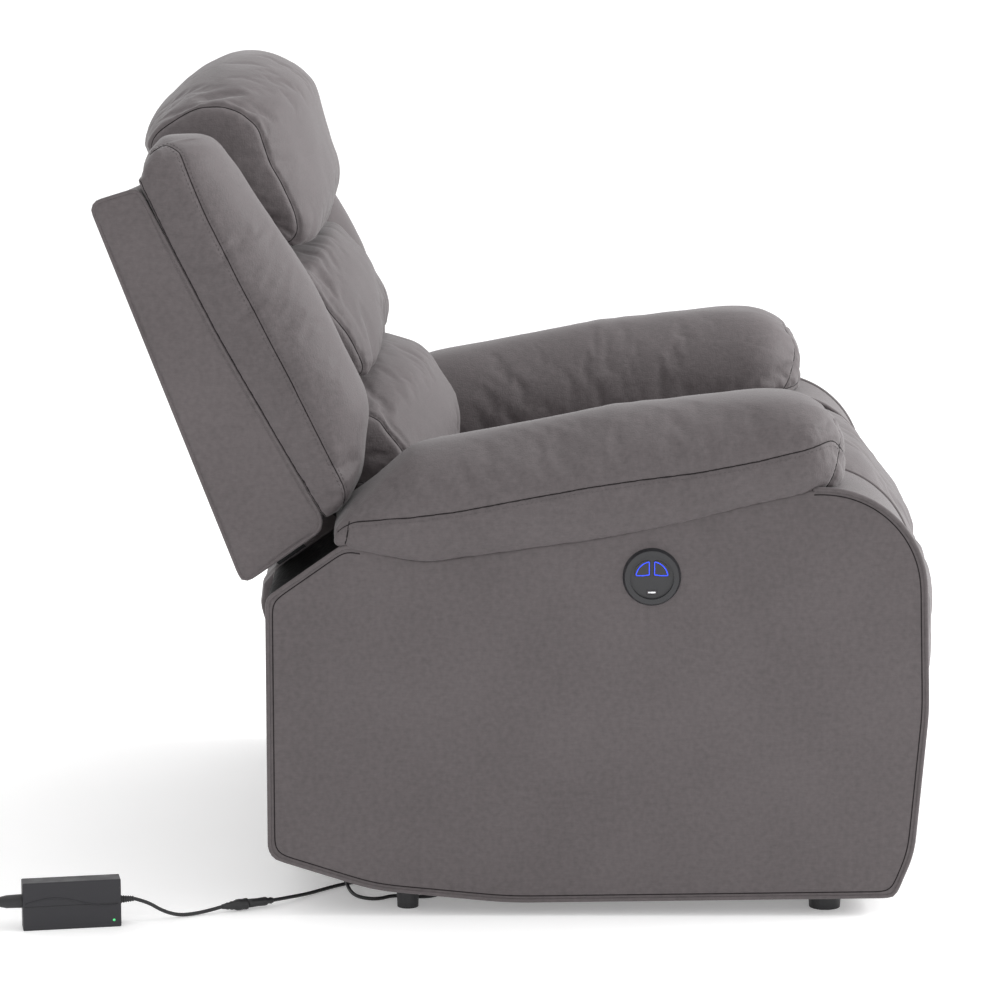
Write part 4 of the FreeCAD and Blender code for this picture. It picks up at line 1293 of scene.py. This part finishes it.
def back_cushion(name, node, draws, roll, seed, droop=None):
    loop = side_loop(node, 0.006)
    low, high = node_box(node)
    axes = (WING_TOP, BACK_OUT, BACK_UP)
    skin, lines = lofted(loop, (low[0] + 0.004, high[0] - 0.004), axes, draws, roll)

    def still(places, ways):
        return (ways @ -np.array([0.0, *BACK_OUT])) > 0.85

    pad, lines = cushion(name, skin, lines, loop, (low[0], high[0]), 0.022, 0.02, 0.006, still)
    if droop:
        move_to(pad.data, drooped(coords(pad.data), *droop, high[0]))
        lines = [drooped(line, *droop, high[0]) for line in lines]

    def at_corners(places):
        across = eased(np.abs(places[:, 0]), 0.15, 0.25)
        foot = eased(-places[:, 2], -low[2] - 0.09, -low[2] - 0.02)
        return 0.35 * across + 0.9 * across * foot

    gathered(pad, lines, 0.0034, 0.022, 0.014, at_corners, seed)
    rumpled(pad, 0.0016, 0.085, (1.0, 1.0, 1.0), None, seed + 40.0)
    pressed(pad, lines, 0.003, 0.004)
    placed(pad, "backrest", "upholstery", [node])
    sewn(pad, "backrest", lines)


CORNER_DROOP = 0.028  # how far the outer ends of the edge between the two lumbar cushions hang
MIDDLE_STILL = 0.11  # above and below that edge, nothing hangs beyond these distances
LOWER_STILL = 0.12


def add_back_cushions():
    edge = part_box("lumbar_middle")[0][2]
    middle = (edge + MIDDLE_STILL, edge, CORNER_DROOP)
    lower = (edge - LOWER_STILL, edge, CORNER_DROOP)
    back_cushion("head_pillow_cushion", "head_pillow", (0.062, 0.028, -0.006, 0.034), 2.2, 1.0)
    back_cushion("lumbar_middle_cushion", "lumbar_middle", (0.046, 0.012, 0.0, 0.0), 2.3, 5.0, middle)
    back_cushion("lumbar_lower_cushion", "lumbar_lower", (0.070, 0.022, 0.004, 0.0), 2.1, 9.0, lower)


REAR_UP = (0.3594, 0.9332)  # up the back's rear edge, in (y, z)
REAR_OUT = (0.9332, -0.3594)
TOP_FALL = 0.042  # how far the cover's top edge hangs below the corners of the side panels
TOP_DEPTH = 0.062


def fallen_top(places, half):
    """Lets the top of the rear cover slope down towards its rear edge, away from the side panels."""
    along, out = places[:, 1:] @ REAR_UP, places[:, 1:] @ REAR_OUT
    edge = eased((half - np.abs(places[:, 0])) / 0.09, 0.0, 1.0)
    fall = TOP_FALL * edge * np.clip(1.0 - (out.max() - out) / TOP_DEPTH, 0.0, 1.0)
    drop = np.minimum(0.0, along.max() - fall - along)
    lowered = places.copy()
    lowered[:, 1:] += drop[:, None] * REAR_UP
    return lowered


def add_back_shell():
    loop = side_loop("back_side_panel_left", 0.008)
    for name, outward in SIDES:
        low, high = node_box(f"back_side_panel_{name}")
        crowned = (outward < 0, outward > 0)
        skin = slab(loop, (low[0], high[0]), 0.0016, 0.003, crowned, 0.0004, 4.0 + outward)
        panel = mesh_object(f"back_side_{name}_upholstery", *skin)
        placed(panel, "backrest", "upholstery_back", [f"back_side_panel_{name}"])
        x = high[0] if outward > 0 else low[0]
        ring = np.column_stack([np.full(len(loop), x - outward * PIPING_SINK), loop])
        piping(f"back_side_{name}_piping", ring, 0.0024, "backrest", "upholstery_back")
    low = node_box("back_side_panel_right")[1][0]
    high = node_box("back_side_panel_left")[0][0]
    shell = mesh_object("back_rear_upholstery", *slab(loop, (low, high), 0.0, 0.002, (False, False)))
    move_to(shell.data, fallen_top(coords(shell.data), high))
    rumpled(shell, 0.0008, 0.15, seed=8.0)
    placed(shell, "backrest", "upholstery_back", ["back_rear_panel", "back_core"])


def add_rear_covers():
    loop = side_loop("rear_panel", 0.012)
    low, high = node_box("rear_panel")
    panel = mesh_object("rear_panel_upholstery", *slab(loop, (low[0], high[0]), 0.0, 0.003, (False, False)))
    rumpled(panel, 0.0008, 0.12, seed=9.0)
    placed(panel, "base", "upholstery_back", ["rear_panel"])
    loop = side_loop("rear_flap", 0.003)
    low, high = node_box("rear_flap")
    flap = mesh_object("rear_flap_fabric", *slab(loop, (low[0], high[0]), 0.0, 0.002, (False, False)))
    modified(flap, "REMESH", mode="VOXEL", voxel_size=0.003)
    rumpled(flap, 0.0022, 0.018, (1.0, 0.3, 0.25), None, 3.0)
    placed(flap, "base", "upholstery_back", ["rear_flap"])


# ---------------------------------------------------------------- control panel


def add_control_details():
    """Lit outlines round the two buttons, and the bar in the charging socket, which glows with painted
    light.
    """
    face = node_box("control_panel")
    centre_y, centre_z = (face[0][1] + face[1][1]) / 2, (face[0][2] + face[1][2]) / 2
    for name, sign in (("open", 1), ("close", -1)):
        low, high = node_box(f"button_{name}")
        reach = 0.0195
        near = (low[1] - centre_y if sign > 0 else centre_y - high[1]) + 0.0012
        foot = low[2] - centre_z + 0.0012
        start, end = math.acos(near / reach), math.asin(foot / reach)
        arc = [(reach * math.cos(a), reach * math.sin(a)) for a in np.linspace(start, end, 16)]
        points = [(near, foot + 0.001), (near, foot + 0.008), *arc, (near + 0.007, foot)]
        line = np.array([(low[0] - 0.0001, centre_y + sign * y, centre_z + z) for y, z in points])
        ring = mesh_object(f"button_{name}_outline", *tube(resampled(line, 0.0012), 0.00045, 6, True))
        placed(ring, f"{name}_button", "button_light")
    low, high = node_box("usb_port")
    middle = (low + high) / 2
    bar = [(low[0] + 0.0004, middle[1] + s * 0.0046, middle[2]) for s in (-1.0, -0.9, 0.0, 0.9, 1.0)]
    # The bar glows with painted light; it is no lamp.
    tongue = mesh_object("usb_tongue_bar", *tube(bar, np.array([0.5, 0.95, 0.95, 0.95, 0.5]) * MM, 10))
    placed(tongue, "base", "usb_tongue")


# ---------------------------------------------------------------- everything

add_materials()
add_camera()
add_studio()
add_cords()
finish_cad()
add_adapter_details()
add_arm_covers()
add_arm_pads()
add_seat()
add_footrest()
add_wings()
add_back_cushions()
add_back_shell()
add_rear_covers()
add_control_details()
